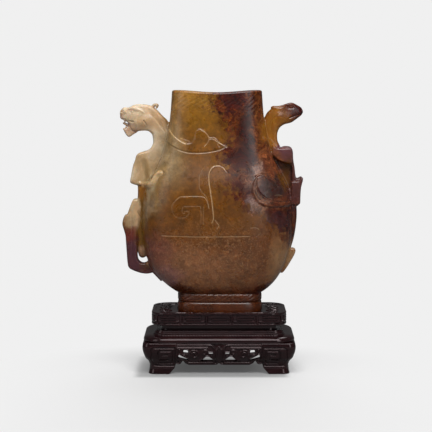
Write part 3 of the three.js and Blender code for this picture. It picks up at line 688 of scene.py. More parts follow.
def add_left_head(field):
    field.add(plate(LEFT_HEAD, left_depth, 2))
    skull = [(-57, 0, 133, 4.2), (-50, 0, 132, 5.4), (-43, 0, 129, 5.3), (-37, 0, 121.6, 5)]
    field.add(limb(skull), blend=3.5)
    cheek = [(-53, -2.9, 128.4, 3.2), (-48.5, -3.1, 129.4, 3.5), (-45, -2.8, 130.6, 3)]
    field.add(*both(cheek), blend=2.5)
    field.add(plate(LEFT_JAW, 2.8, 1.1), blend=0.6)
    tongue = [(-57, 0, 125.6, 1.3), (-60.5, 0, 126.9, 1.1), (-63.4, 0, 128.3, 0.7)]
    field.add(limb(tongue), blend=0.3)
    nose = [(-64, -1.7, 135.6, 1.9), (-62.6, -2.2, 136.6, 1.9)]
    field.add(*both(nose), blend=0.9)
    nostril = [(-65.3, -2.4, 136, 0.5), (-64.1, -3.9, 136.6, 0.7)]
    field.cut(*both(nostril), blend=0.4)
    brow = [
        (-61.4, -2.5, 137.8, 0.8), (-57.6, -4, 138.4, 0.9), (-53, -4.8, 137.4, 0.8), (-50, -5, 135.8, 0.5),
    ]
    field.add(*both(brow), blend=1.1)
    socket = [(-58.6, -5, 136, 0.7), (-55.6, -5.8, 136, 0.7)]
    field.cut(*both(socket), blend=0.7)
    field.add(*(ball(-57, side * 3.8, 136, 1.2) for side in (-1, 1)), blend=0.2)
    upper_fang = [(-62.7, -1.9, 130.6, 0.8), (-62.6, -1.9, 128.7, 0.25)]
    lower_fang = [(-61.9, -1.8, 124.8, 0.7), (-61.9, -1.8, 126.5, 0.25)]
    field.add(*both(upper_fang), *both(lower_fang), blend=0.2)
    ear = [
        (-44.4, -3.6, 138.6, 1), (-42.4, -3.8, 140.6, 1), (-40.6, -3.8, 140.4, 0.9), (-41, -3.8, 138.8, 0.6),
    ]
    field.add(*both(ear), blend=0.7)
    engrave_left_head(field)


def engrave_left_head(field):
    for k in range(3):
        rise = 2.1 * k
        mane = [
            (-46 + rise, -5.9, 136 - 0.4 * rise, 0.3),
            (-41 + 0.8 * rise, -5.9, 130.6 - 0.7 * rise, 0.45),
            (-36.4 + 0.3 * rise, -5.6, 123.6 - 0.4 * rise, 0.4),
        ]
        field.cut(*both(mane), blend=0.5)
    gill = [(-49.6, -6.6, 130, 0.4), (-48.2, -6.8, 127.4, 0.6), (-49, -6, 124.6, 0.4)]
    field.cut(*both(gill), blend=0.5)
    lip = [(-61, -3.8, 130.4, 0.35), (-58, -4.4, 129.4, 0.45), (-55.2, -4.7, 129.8, 0.35)]
    field.cut(*both(lip), blend=0.4)


def add_left_shoulder(field):
    field.add(plate(LEFT_SHOULDER, 5.3, 1.6), blend=1.5)
    outer_groove = [(-53.4, -5.9, 105, 0.5), (-55.6, -5.9, 98, 0.6), (-56.6, -5.8, 90, 0.5)]
    field.cut(*both(outer_groove), blend=0.8)
    inner_groove = [(-46, -6, 107, 0.7), (-49, -6.3, 98, 1.2), (-48, -6.6, 91, 1.3)]
    field.cut(*both(inner_groove), blend=1)


def add_left_strap(field):
    """The long strap that hangs beside the vase and hooks back to it, with a limb inside it."""
    inner = [
        (-50.6, 0, 86, 3), (-51.2, 0, 76, 3), (-51.8, 0, 62, 3), (-51.6, 0, 44, 3), (-51, 0, 38.8, 2.7),
    ]
    field.add(limb(inner, flatten=0.6), blend=0.6)
    field.add(plate(LEFT_STRAP, 4.5, 1.4), blend=0.8)
    knee = [(-61.8, -2.8, 63.4, 1.2), (-62.6, -3, 60, 1.5), (-61.4, -3.2, 56.4, 1.1)]
    field.add(*both(knee), blend=0.9)
    for groove in (
        [(-57.2, -4.8, 74, 0.4), (-58.2, -4.9, 66, 0.6), (-57.8, -4.9, 54, 0.6), (-58, -4.9, 36, 0.4)],
        [(-55, -5, 31, 0.4), (-50, -5.1, 29.2, 0.5), (-44.5, -5, 29.8, 0.4)],
    ):
        field.cut(*both(groove), blend=0.5)
    tip = [(-46, 0, 28, 1), (-43.4, 0, 26, 0.8), (-38.4, 0, 20.6, 0.7)]
    field.add(limb(tip), blend=0.4)


def on_body(x, z, radius):
    """A station half sunk in the body's front surface."""
    return (x, -(surface_depth(x, z) + 0.4 * radius), z, radius)


def add_left_paw(field):
    """The forearm bends round the vase's flank and ends in a hooked paw on its front."""
    forearm = [(-52.6, -4.6, 87.6, 1.5), *(on_body(*station) for station in LEFT_PAW)]
    field.add(*both(forearm), blend=0.6)


# The right dragon, looking out to the right over its shoulder

RIGHT_HEAD = [
    (57.9, 136), (57, 133.8), (53.8, 131.1), (50.2, 128.7), (45.4, 127.6), (42.2, 125.6),
    (41, 121.5), (41.1, 116.7), (42.6, 113.2), (43.6, 109), (36, 110), (31, 118), (31, 128),
    (32.6, 132.5), (34.2, 135.4), (36.8, 138), (38.4, 139.8), (43.3, 140), (47.4, 141.4),
    (50.2, 142.2), (52.4, 141.6), (55, 139.8), (57.2, 138),
]
RIGHT_SHOULDER = [
    (42, 112), (46, 112.6), (50, 112.1), (51, 109), (51.7, 104.3), (52.8, 98), (53.4, 93), (54.6, 90.8),
    (57.4, 91.8), (58.6, 90.6), (57.6, 88), (56.7, 85), (56.6, 78), (56.2, 73.6), (54, 71.6), (51, 70),
    (46, 80), (42, 96), (36, 110), (36, 118),
]
RIGHT_BRACKET = [
    (50.4, 88.4), (50.6, 86), (50.4, 80), (50.4, 74.2), (52, 73), (55.4, 73.2), (56.6, 74.2),
    (56.8, 79), (57.2, 84.6), (58.4, 89.8), (57.6, 91.2), (56, 89.6), (54.4, 88.8), (52, 88.8),
]
RIGHT_TAIL = [
    (49.5, 42.8), (52, 43), (53.7, 42), (53.2, 39), (50.2, 33.5), (46.7, 28), (44.7, 26),
    (42.9, 26.8), (42.2, 30), (41, 34), (42, 42),
]


SHOULDER_BLOCK = [
    (38, 113.4), (41, 111.8), (45, 111.6), (49.6, 112), (51.2, 110), (51.6, 105), (51.6, 102),
    (50, 100.9), (46, 101.6), (41, 103.8), (37, 108),
]
SIDE_POCKET = [
    (40, 103), (46, 100.9), (50.6, 99.4), (51.1, 93), (50.8, 87.4), (48, 83), (44, 88), (40, 96),
]


def right_depth(x):
    return np.interp(x, [32, 38, 46, 52, 58], [4.6, 5, 5, 4.2, 2.8])


def right_dragon():
    field = Field((25, -10.5, 20), (61, 10.5, 144), DRAGON_STEP)
    add_right_head(field)
    field.add(plate(RIGHT_SHOULDER, 5.2, 1.1), blend=0.8)
    field.cut(pocket(SIDE_POCKET, 2.2), blend=0.5)
    field.add(plate(SHOULDER_BLOCK, 8.6, 1.5), blend=0.5)
    field.add(plate(RIGHT_BRACKET, 6.4, 0.9), blend=0.2)
    hind_limb = [
        (51, 0, 76, 3), (52.2, 0, 68, 2.4), (52, 0, 60, 2.2), (50.6, 0, 50, 2), (46.5, 0, 38, 2.4),
    ]
    field.add(limb(hind_limb, flatten=0.55), blend=0.6)
    field.add(plate(RIGHT_TAIL, 3.4, 1.2), blend=0.5)
    tail_groove = [(51.4, -3.6, 41, 0.35), (48.6, -3.8, 35, 0.5), (45, -3.6, 28.6, 0.3)]
    field.cut(*both(tail_groove), blend=0.3)
    blend_into_body(field, 1.2)
    return field


def add_right_head(field):
    field.add(plate(RIGHT_HEAD, right_depth, 2))
    skull = [(54.5, 0, 136.6, 2.6), (49, 0, 135.6, 4.4), (42, 0, 132.6, 5), (36.5, 0, 126, 4.4)]
    field.add(limb(skull), blend=3)
    cheek = [(47, -2.7, 132.6, 2.6), (43, -2.9, 132, 3)]
    field.add(*both(cheek), blend=2.5)
    nose = [(55.6, -1.6, 137, 1.6), (56.8, -1.2, 136, 1.4)]
    field.add(*both(nose), blend=0.8)
    nostril = [(57.4, -1.8, 137, 0.4), (56.4, -3.4, 137.4, 0.6)]
    field.cut(*both(nostril), blend=0.4)
    brow = [
        (53.6, -2.8, 140.2, 0.7), (50.6, -3.8, 141.2, 0.9), (47.4, -4.4, 140.6, 0.8), (45.4, -4.6, 139, 0.5),
    ]
    field.add(*both(brow), blend=0.5)
    socket = [(51.8, -4.7, 139, 0.7), (48.6, -5.3, 138.8, 0.8)]
    field.cut(*both(socket), blend=0.6)
    field.add(*(ball(50, side * 3.6, 139.2, 1.2) for side in (-1, 1)), blend=0.1)
    lip = [(57.6, -2.2, 134.8, 0.45), (54, -4, 133.6, 0.45), (49, -4.9, 131.8, 0.4)]
    field.cut(*both(lip), blend=0.4)
    ear = [(41, -3.9, 137.6, 0.8), (39, -4, 139, 0.9), (37.4, -3.8, 138.8, 0.7)]
    field.add(*both(ear), blend=0.8)
    for k in range(3):
        drop = 2 * k
        mane = [
            (41 - drop, -5.7, 134.6 - 0.6 * drop, 0.3), (37.6 - 0.6 * drop, -5.6, 130 - drop, 0.4),
            (36.4 - 0.2 * drop, -5.3, 124 - drop, 0.3),
        ]
        field.cut(*both(mane), blend=0.4)


def add_dragons(material):
    paw = [(x, z) for x, z, _ in LEFT_PAW]
    for name, dragon in (("dragon_left", left_dragon()), ("dragon_right", right_dragon())):
        points, quads, tris = dragon.surface()
        piece = add_piece(name, points, quads, tris, "vase", ["jade_vase"], material)
        from_paw = line_distance(points[:, 0], points[:, 2], paw)
        set_pale_and_highlight(piece, 0.4 * smoothstep(2.6, 1.2, from_paw))


# Stand: mouldings that run round it

BOARD_HALF = (BOARD["half_x"], BOARD["half_y"])
WAIST_HALF = (BOARD["half_x"] - WAIST_INSET[0], BOARD["half_y"] - WAIST_INSET[1])
WINDOW_HALF = (26, 10)
BOARD_Z = STAND_HEIGHT - BOARD["thickness"]


def outline_path(half, radius, columns):
    """Points round a rectangle with rounded corners, anticlockwise from the middle of the front,
    their outward directions, and each one's run from the middle of the front or back."""
    flat_x, flat_y = half[0] - radius, half[1] - radius
    bend = radius * math.pi / 2
    quarter = flat_x + bend + flat_y
    at = (np.arange(columns) + 0.5) / columns * 4 * quarter
    section = (at // quarter).astype(int)
    run = at - section * quarter
    run = np.where(section % 2 == 0, run, quarter - run)
    angle = np.clip((run - flat_x) / radius, 0, math.pi / 2)
    x = np.minimum(run, flat_x) + radius * np.sin(angle)
    y = flat_y + radius * np.cos(angle) - np.maximum(run - flat_x - bend, 0)
    to_right = np.where(section < 2, 1, -1)
    to_back = np.where((section == 0) | (section == 3), -1, 1)
    side = np.column_stack([to_right, to_back])
    place = np.column_stack([x, y]) * side
    out = np.column_stack([np.sin(angle), np.cos(angle)]) * side
    return place, out, run, quarter


def moulding(profile, half, radius, columns, relief=None):
    """Rings of a moulding. The profile lists how far out and how high each ring lies, and the
    relief is a function of the run along the outline, the quarter's length and the height."""
    place, out, run, quarter = outline_path(half, radius, columns)
    rings = []
    for reach, z in profile:
        raised = 0 if relief is None else relief(run, quarter, z)
        across = place + out * (reach + raised * np.ones(columns))[:, None]
        rings.append(np.column_stack([across, np.full(columns, z)]))
    return np.array(rings)


def framed(rings, half):
    """Turns a moulding into a frame, whose first and last rings go in to an open window."""
    scale = np.array([WINDOW_HALF[0] / half[0], WINDOW_HALF[1] / half[1], 1])
    rings = np.concatenate([rings[:1] * scale, rings, rings[-1:] * scale])
    rows, columns, _ = rings.shape
    quads = grid_quads(rows + 1, columns) % (rows * columns)
    return rings.reshape(-1, 3), quads, []


FRET_PANEL = 17.2  # from one upright bar of the key pattern to the next
FRET_HALF_HEIGHT = 3
FRET_MIDDLE_Z = STAND_HEIGHT - 4.2
FRET_DEPTH = 0.75
FRET_LINE = [(-6.8, -1.6), (6.8, -1.6), (6.8, 1.6), (-4.9, 1.6), (-4.9, 0), (4.8, 0)]


def key_fret(run, _, z):
    """The key pattern sunk into the top board's edge, its lines standing up to the surface."""
    half = FRET_PANEL / 2
    u = (run + half) % FRET_PANEL - half
    v = np.full(u.shape, z - FRET_MIDDLE_Z)
    within = smoothstep(FRET_HALF_HEIGHT + 0.15, FRET_HALF_HEIGHT - 0.2, np.abs(v))
    bar = smoothstep(0.75, 0.45, np.abs(np.abs(u) - half))
    line = smoothstep(0.6, 0.42, line_distance(u, v, FRET_LINE))
    return -FRET_DEPTH * within * (1 - np.maximum(bar, line))


# The raised scrolls on a quarter of the board's top, and the seat that they go round
SCROLLS = [
    spiral((37.3, 5.4), 3.7, 1.5, -2.2), spiral((37, 14.8), 3.4, -1.4, 2.4),
    [(33.7, 3.4), (35.5, 0)], [(34.4, 12.4), (32.6, 9.4), (33.9, 6.8)],
    smooth_curve([(35, 17.9), (31, 20.8), (26, 21.6), (22.4, 21.2)], 5),
    spiral((20.6, 21.8), 1.9, 1.3, 0.6), smooth_curve([(19, 20.6), (14, 22.8), (9.6, 21.4)], 5),
    spiral((8, 21.9), 1.8, 1.3, 0.2), [(6.2, 21), (3, 22.6), (0, 22.6)],
]
SEAT_CLEARANCE = 0.4
SEAT_Z = vase_low.z / MM


def top_relief(x, y):
    """Sunk ground between a border and scrolls on the top of the board, outside the seat."""
    edge = board_distance(x, y)
    raised = smoothstep(-2.6, -2.2, edge)
    u, v = np.abs(x), np.abs(y)
    for line in SCROLLS:
        raised = np.maximum(raised, smoothstep(0.75, 0.4, line_distance(u, v, line)))
    return -0.5 * (1 - raised)


def board_distance(x, y):
    radius = BOARD["radius"]
    past_x = np.abs(x) - (BOARD["half_x"] - radius)
    past_y = np.abs(y) - (BOARD["half_y"] - radius)
    return rounded(past_x, past_y, radius)


def top_board_rings(columns):
    """Rings from the board's open underside, up its edge and in over its top to the seat."""
    bottom, top = BOARD_Z, STAND_HEIGHT
    under = [(-14, bottom), (-4, bottom), (-1.6, bottom), (-0.6, bottom), (-0.18, bottom + 0.18)]
    side = [(0, z) for z in np.linspace(bottom + 0.6, top - 0.6, 60)]
    over = [(-0.18, top - 0.18), (-0.6, top)]
    rings = moulding(under + side + over, BOARD_HALF, BOARD["radius"], columns, key_fret)
    edge = rings[-1, :, :2]
    seat, _ = vase_ring(FOOT_HALF_WIDTH + 0.4, 0, -SEAT_CLEARANCE, columns)
    seat = np.roll(seat[:, :2], columns // 4, axis=0) + [VASE_X - STAND_X, 0]
    flat = []
    for share in np.linspace(0.02, 1, 50):
        across = edge + (seat - edge) * share
        flat.append(np.column_stack([across, top + top_relief(across[:, 0], across[:, 1])]))
    flat[-1][:, 2] = flat[-2][:, 2]
    floor = [np.column_stack([seat * scale, np.full(columns, SEAT_Z)]) for scale in (1, 0.96, 0.6)]
    return np.concatenate([rings, flat, floor])


def flutes(depth, spacing, low, high):
    """Upright flutes along a moulding between two heights."""

    def relief(run, quarter, z):
        count = round(quarter / spacing)
        fade = smoothstep(low, low + 0.3, z) * smoothstep(high, high - 0.3, z)
        return -depth * fade * np.abs(np.sin(math.pi * count * run / quarter)) ** 0.7

    return relief


# How far out and how far above the legs: the moulding's points, and each step's low and high
SHOULDER_DRUM = [(4.9, 0), (5.3, 0.6), (5.3, 1.6), (4.9, 2.6), (3.7, 3.5), (1.6, 4.2), (0, 4.4)]
SHOULDER_STEPS = [(-1, 4.5, 5.9), (-2, 5.95, 6.8), (-2.8, 6.85, 7.5)]


def shoulder_profile():
    """A full convex moulding and, above it, three small steps in to the waist."""
    profile = list(smooth_curve(SHOULDER_DRUM, 6)) + [(-0.9, 4.45)]
    for reach, low, high in SHOULDER_STEPS:
        profile += [
            (reach, low), (reach - 0.05, low + 0.15), (reach - 0.05, high - 0.15),
            (reach - 0.1, high - 0.04), (reach - 0.2, high),
        ]
    return [(reach, LEG_TOP_Z + rise) for reach, rise in profile + [(-3.4, SHOULDER_STEPS[-1][2])]]


def waist_profile():
    low, high = waist_low.z / MM, BOARD_Z
    steps = np.linspace(0, 1, 12)
    return [(-0.2 * math.sin(math.pi * t) ** 0.8, low + (high - low) * t) for t in steps]


def add_round_frames(wood):
    top = closed_grid(top_board_rings(COLUMNS))
    add_piece("stand_top", *top, "stand", ["top_board"], wood, crease=32)
    _, low, high = SHOULDER_STEPS[0]
    relief = flutes(0.2, 1.9, LEG_TOP_Z + low, LEG_TOP_Z + high)
    rings = moulding(shoulder_profile(), BOARD_HALF, radius=9, columns=COLUMNS, relief=relief)
    shoulder = framed(rings, BOARD_HALF)
    add_piece("stand_shoulder", *shoulder, "stand", ["shoulder_frame"], wood, crease=32)
    rings = moulding(waist_profile(), WAIST_HALF, radius=6, columns=640)
    waist = framed(rings, WAIST_HALF)
    add_piece("stand_waist", *waist, "stand", ["waist_frame"], wood)


# Stand: legs and aprons, carved in fields

LEG_TAPER = [(5.2, 0), (1.7, 4), (0.4, 8), (0, 10.8), (0, LEG_TOP_Z)]
DRUM_TOP = DRUM_PROFILE[-1][0]
LEG_INNER = (BOARD["half_x"] + DRUM_TOP - LEG_WIDTH, BOARD["half_y"] + DRUM_TOP - LEG_DEPTH)
LEG_CORNER = 5
# The key lines sunk into a leg's front, and into its outer side
LEG_FRET = [
    [(34.2, 11.4), (34.2, 9.9), (39.6, 9.9), (40.9, 11.2), (40.9, 15.2), (39.6, 16.5), (31.6, 16.5),
     (31.6, 7.6), (39.5, 7.6)],
    [(29.6, 5.6), (29.6, 18.4), (44, 18.4), (45.4, 17), (45.4, 10), (43.4, 5.9), (29.6, 5.9)],
    [(34.4, 13.6), (37.6, 13.6)],
]
SIDE_FRET = [
    [(18.2, 11.4), (18.2, 9.9), (22, 9.9), (23.2, 11.2), (23.2, 15.2), (22, 16.5), (16, 16.5),
     (16, 7.6), (22.4, 7.6)],
    [(13.6, 5.9), (13.6, 18.4), (25.4, 18.4), (26.4, 17), (26.4, 10), (25.2, 5.9), (13.6, 5.9)],
]


def drum_reach(z):
    drum = smooth_curve([(z, out) for out, z in DRUM_PROFILE], 6)
    return np.interp(z, drum[:, 0], drum[:, 1])


def leg_field():
    """The front right leg. The others are its mirror images."""
    widest = max(out for out, _ in DRUM_PROFILE)
    low = (LEG_INNER[0] - 0.8, -(BOARD["half_y"] + widest + 0.6), -0.6)
    high = (BOARD["half_x"] + widest + 0.6, -LEG_INNER[1] + 0.8, LEG_TOP_Z + 0.6)
    field = Field(low, high, CARVING_STEP)
    x, y, z = field.places()
    reach = drum_reach(z)
    taper = np.interp(z, [level for _, level in LEG_TAPER], [inset for inset, _ in LEG_TAPER])
    left, right = LEG_INNER[0] + taper, BOARD["half_x"] + reach
    front, back = -(BOARD["half_y"] + reach), -(LEG_INNER[1] + taper)
    from_x, from_y = x - (left + right) / 2, y - (front + back) / 2
    corner = np.where((from_x > 0) & (from_y < 0), LEG_CORNER, 0.8)
    past_x = np.abs(from_x) - (right - left) / 2 + corner
    past_y = np.abs(from_y) - (back - front) / 2 + corner
    ends = np.maximum(z - LEG_TOP_Z, -z)
    body = smooth_max(rounded(past_x, past_y, corner), ends, 0.5)
    grooves = leg_grooves(x, y, z, y - front, right - x)
    field.distance = smooth_max(body, -grooves, 0.35).astype(np.float32)
    return field


def leg_grooves(x, y, z, behind_front, inside_right):
    """The distance to the key lines that are sunk into a leg's two outer faces."""
    grooves = FAR
    for lines, along, deep in ((LEG_FRET, x, behind_front), (SIDE_FRET, -y, inside_right)):
        for line in lines:
            groove = np.maximum(line_distance(along, z, line) - 0.5, deep - 0.8)
            grooves = np.minimum(grooves, groove)
    return grooves


def front_pattern(leg):
    """Half of the front apron, counted out from its middle to the leg: its lower edge, its
    piercings and its raised lines."""
    return {
        "edge": [(0, 7.4), (1.4, 6.3), (3.4, 6.1), (leg - 7.8, 6.1), (leg - 5.4, 7.2), (leg - 3.9, 9.1),
                 (leg - 2.4, 6.9), (leg - 1, 6.4), (leg + 1, 7.4)],
        "piercings": [
            [(4.1, 13.7), (7, 13.7), (7, 15.2), (4.1, 15.2)],
            [(leg - 7.6, 14.4), (leg - 4, 14.8), (leg - 4.4, 17.1), (leg - 7.4, 17)],
            [(4.1, 9), (13.6, 9), (11, 10.2), (8.8, 12.4), (6.8, 12.3), (4.1, 10.2)],
            [(leg - 7.6, 9.2), (leg - 0.8, 11.2), (leg - 0.8, 13.2), (leg - 1.8, 13.5),
             (leg - 7.6, 10.4)],
        ],
        "beads": [
            smooth_curve(
                [(leg, 20.3), (12, 20.3), (6, 20.2), (4.4, 19.4), (3.6, 17.6), (3.4, 13), (3.4, 7)], 4,
            ),
            [(leg, 18.2), (8, 18.2), (7.2, 16.8)],
            spiral((leg - 11.6, 13.6), 3.3, 1.5, 0.4), spiral((9.6, 15), 2, -1.3, 2.6),
            spiral((leg - 2.6, 9), 2.3, 1.3, 1.8), [(3.8, 7.3), (leg - 7.6, 7.3), (leg - 4.4, 9.8)],
            smooth_curve([(leg - 8.3, 13.6), (leg - 4.4, 13.2), (leg - 2.6, 14.6), (leg - 1.6, 17)], 4),
            [(0, 18.6), (1.8, 16.6), (1.8, 9.4), (0, 8)],
        ],
    }


def side_pattern(leg):
    """The same for the shorter apron on the side."""
    return {
        "edge": [(0, 7.4), (1.2, 6.3), (2.6, 6.1), (leg - 5, 6.1), (leg - 2.7, 8.6), (leg - 1, 6.6),
                 (leg + 1, 7.2)],
        "piercings": [
            [(2.6, 13.7), (5.4, 13.7), (5.4, 15.4), (2.6, 15.4)],
            [(2.6, 9), (leg - 5, 9), (leg - 2.4, 11.6), (leg - 2.6, 13), (leg - 6, 11.8), (2.6, 10.6)],
        ],
        "beads": [
            smooth_curve([(leg, 20.3), (5, 20.2), (2.8, 19.2), (2, 17), (2, 7)], 4),
            [(leg, 18.2), (5.8, 18.2)], spiral((leg - 4.2, 15), 2.2, 1.3, 0.4),
            [(2.4, 7.4), (leg - 4.6, 7.4)],
        ],
    }


def apron_outline(length, edge):
    """The lower edge on both sides of the middle, and straight up and over between the legs."""
    end_z = edge[-1][1]
    outline = [(length, end_z), (length, LEG_TOP_Z), (-length, LEG_TOP_Z), (-length, end_z)]
    return outline + [(-a, b) for a, b in reversed(edge[:-1])] + edge[1:-1]


def apron_field(leg, half_depth, pattern):
    """An apron along the front line at the given depth from the stand's middle."""
    length = leg + 2.4
    low = (-length - 0.6, -(half_depth + 6.8), 5.4)
    high = (length + 0.6, -(half_depth - 5.6), LEG_TOP_Z + 0.6)
    field = Field(low, high, CARVING_STEP)
    x, y, z = field.places()
    u = np.abs(x)
    shape = outline_distance(x, z, apron_outline(length, pattern["edge"]))
    for hole in pattern["piercings"]:
        shape = smooth_max(shape, -(outline_distance(u, z, hole) + 0.1), 0.4)
    rise = np.zeros(shape.shape)
    for line in pattern["beads"]:
        rise = np.maximum(rise, smoothstep(0.85, 0.25, line_distance(u, z, line)))
    rise = np.maximum(rise, smoothstep(-0.95, -0.45, shape))
    out = -y - (half_depth + drum_reach(z) - APRON_SET_BACK)
    slope = np.gradient(drum_reach(z).ravel(), z.ravel()).reshape(z.shape)
    slab = np.maximum(out - 0.65 * rise + 0.55, -5 - out) / np.sqrt(1 + slope**2)
    field.distance = smooth_max(slab, shape, 0.4).astype(np.float32)
    return field


def add_legs(wood):
    points, quads, tris = leg_field().surface()
    for side_x, x_name in ((1, "right"), (-1, "left")):
        for side_y, y_name in ((1, "front"), (-1, "back")):
            placed = points * [side_x, side_y, 1]
            turn = slice(None, None, side_x * side_y)
            node = f"leg_{y_name}_{x_name}"
            add_piece(f"stand_{node}", placed, quads[:, turn], tris[:, turn], "stand", [node], wood)


def add_aprons(wood):
    front, side = front_pattern(LEG_INNER[0]), side_pattern(LEG_INNER[1])
    for leg, half_depth, pattern, names in (
        (LEG_INNER[0], BOARD["half_y"], front, (("apron_front", 0), ("apron_back", 180))),
        (LEG_INNER[1], BOARD["half_x"], side, (("apron_right", 90), ("apron_left", 270))),
    ):
        points, quads, tris = apron_field(leg, half_depth, pattern).surface()
        for node, degrees in names:
            cos, sin = math.cos(math.radians(degrees)), math.sin(math.radians(degrees))
            placed = points @ np.array([[cos, sin, 0], [-sin, cos, 0], [0, 0, 1]])
            add_piece(f"stand_{node}", placed, quads, tris, "stand", [node], wood)


# Materials

def srgb(tint):
    """A colour as it looks on a screen, 0 to 255, turned into the renderer's numbers."""
    shares = (value / 255 for value in tint)
    return (*(v / 12.92 if v <= 0.04045 else ((v + 0.055) / 1.055) ** 2.4 for v in shares), 1)


class Paint:
    """The nodes of a material or the world, built up from numbers, colours and places."""

    def __init__(self, owner):
        self.owner = owner
        self.owner.use_nodes = True
        self.tree = owner.node_tree

    def node(self, kind, inputs, output=0, **settings):
        """The output of a new shader node."""
        node = self.tree.nodes.new("ShaderNode" + kind)
        for setting, value in settings.items():
            setattr(node, setting, value)
        self.fill(node, inputs)
        return node.outputs[output]

    def fill(self, node, inputs):
        """Sets a node's inputs to constants, or links them to other nodes' outputs."""
        for key, value in inputs.items():
            if isinstance(value, bpy.types.NodeSocket):
                self.tree.links.new(value, node.inputs[key])
            else:
                node.inputs[key].default_value = value

    def place(self, origin):
        """Where a point lies, in millimetres from the origin."""
        where = self.node("TexCoord", {}, "Object")
        where = self.vector("MULTIPLY", where, (1 / MM, 1 / MM, 1 / MM))
        return self.vector("SUBTRACT", where, tuple(origin))

    def math(self, operation, a, b=0.0):
        return self.node("Math", {0: a, 1: b}, operation=operation)

    def times(self, a, b):
        return self.math("MULTIPLY", a, b)

    def split(self, place):
        """A place's X, Y and Z."""
        return self.node("SeparateXYZ", {0: place}).node.outputs

    def vector(self, operation, a, b):
        return self.node("VectorMath", {0: a, 1: b}, operation=operation)

    def length(self, vector):
        return self.node("VectorMath", {0: vector}, "Value", operation="LENGTH")

    def noise(self, place, size, detail=3.0, roughness=0.55, distortion=0.0, output="Fac"):
        """Cloudy noise with forms of about the given size in millimetres."""
        inputs = {"Vector": place, "Scale": 1 / size, "Detail": detail, "Roughness": roughness}
        return self.node("TexNoise", {**inputs, "Distortion": distortion}, output)

    def step(self, value, low, high):
        """0 below the low value, 1 above the high one and smooth between."""
        inputs = {"Value": value, "From Min": low, "From Max": high}
        return self.node("MapRange", inputs, interpolation_type="SMOOTHSTEP")

    def warp(self, place, size, amount):
        """The place, drifted by a noise, so that what is painted there has ragged edges."""
        drift = self.vector("SUBTRACT", self.noise(place, size, output="Color"), (0.5, 0.5, 0.5))
        return self.vector("ADD", place, self.vector("MULTIPLY", drift, (amount,) * 3))

    def patch(self, place, middle, reach, soft):
        """A soft-edged ellipsoid: 1 inside, 0 outside."""
        away = self.vector("DIVIDE", self.vector("SUBTRACT", place, middle), reach)
        return self.step(self.length(away), 1 + soft, 1 - soft)

    def past_edge(self, place, edge):
        """How far a point lies to the right of an edge, given by heights and places across."""
        low, high = edge[0][0], edge[-1][0]
        left, right = min(x for _, x in edge), max(x for _, x in edge)
        shares = [((z - low) / (high - low), (x - left) / (right - left)) for z, x in edge]
        where = self.split(place)
        height = self.node("MapRange", {"Value": where["Z"], "From Min": low, "From Max": high})
        curve = self.node("FloatCurve", {"Value": height}).node
        points = curve.mapping.curves[0].points
        for share in shares[1:-1]:
            points.new(*share)
        points[0].location, points[-1].location = shares[0], shares[-1]
        curve.mapping.update()
        inputs = {"Value": curve.outputs[0], "To Min": left, "To Max": right}
        return self.math("SUBTRACT", where["X"], self.node("MapRange", inputs))

    def between(self, noise, low, high):
        """A value between the low and the high one, led by a noise."""
        inputs = {"Value": noise, "From Min": 0.3, "From Max": 0.7, "To Min": low, "To Max": high}
        return self.node("MapRange", inputs)

    def off_middle(self, noise):
        return self.math("SUBTRACT", noise, 0.5)

    def shaded(self, colour, noise, amount):
        """The colour made darker and lighter by a noise."""
        level = self.math("MULTIPLY_ADD", self.off_middle(noise), amount)
        level.node.inputs[2].default_value = 1
        tint = self.node("CombineXYZ", {0: level, 1: level, 2: level})
        return self.mix(1.0, colour, tint, blend="MULTIPLY")

    def bands(self, place, stops):
        """Colours by height, each a stop on the way up."""
        top = stops[-1][0]
        blend = self.node("ValToRGB", {"Fac": self.math("DIVIDE", self.split(place)["Z"], top)})
        ramp = blend.node.color_ramp
        for k, (z, tint) in enumerate(stops):
            stop = ramp.elements[k] if k < 2 else ramp.elements.new(z / top)
            stop.position = z / top
            stop.color = tint
        return blend

    def mix(self, share, a, b, blend="MIX"):
        inputs = {"Factor": share, 6: a, 7: b}
        return self.node("Mix", inputs, 2, data_type="RGBA", blend_type=blend)

    def finish(self, inputs):
        self.fill(self.tree.nodes["Principled BSDF"], inputs)
        return self.owner

    def bump(self, height, distance):
        return self.node("Bump", {"Height": height, "Distance": distance, "Strength": 1.0})


ANY_DEPTH = 200  # a cloud this deep runs right through the vase
# Where the stone's dark skin begins on the right, as heights and places across
SKIN_EDGE = [
    (0, 70), (40, 60), (49, 49.8), (55, 41.9), (61, 36), (67, 30.1), (74, 22.3), (80, 14.4), (86.5, 10),
    (92, 7.6), (100, 8.5), (106, 5.6), (111, 6.6), (116, 8.5), (123, 9.5), (133, 4.6), (140.5, 0.7),
    (152, -1.5),
]
# The stone's colour at each height, from the foot up
BANDS = [
    (0, (77, 43, 9)), (12, (80, 43, 9)), (15, (98, 50, 14)), (21, (130, 82, 50)), (28, (124, 82, 56)),
    (40, (114, 72, 44)), (50, (108, 64, 32)), (62, (108, 68, 34)), (76, (114, 72, 34)),
    (86, (116, 75, 36)), (100, (118, 78, 40)), (114, (126, 82, 36)), (128, (128, 86, 34)),
    (140, (142, 98, 40)), (152, (156, 112, 50)),
]
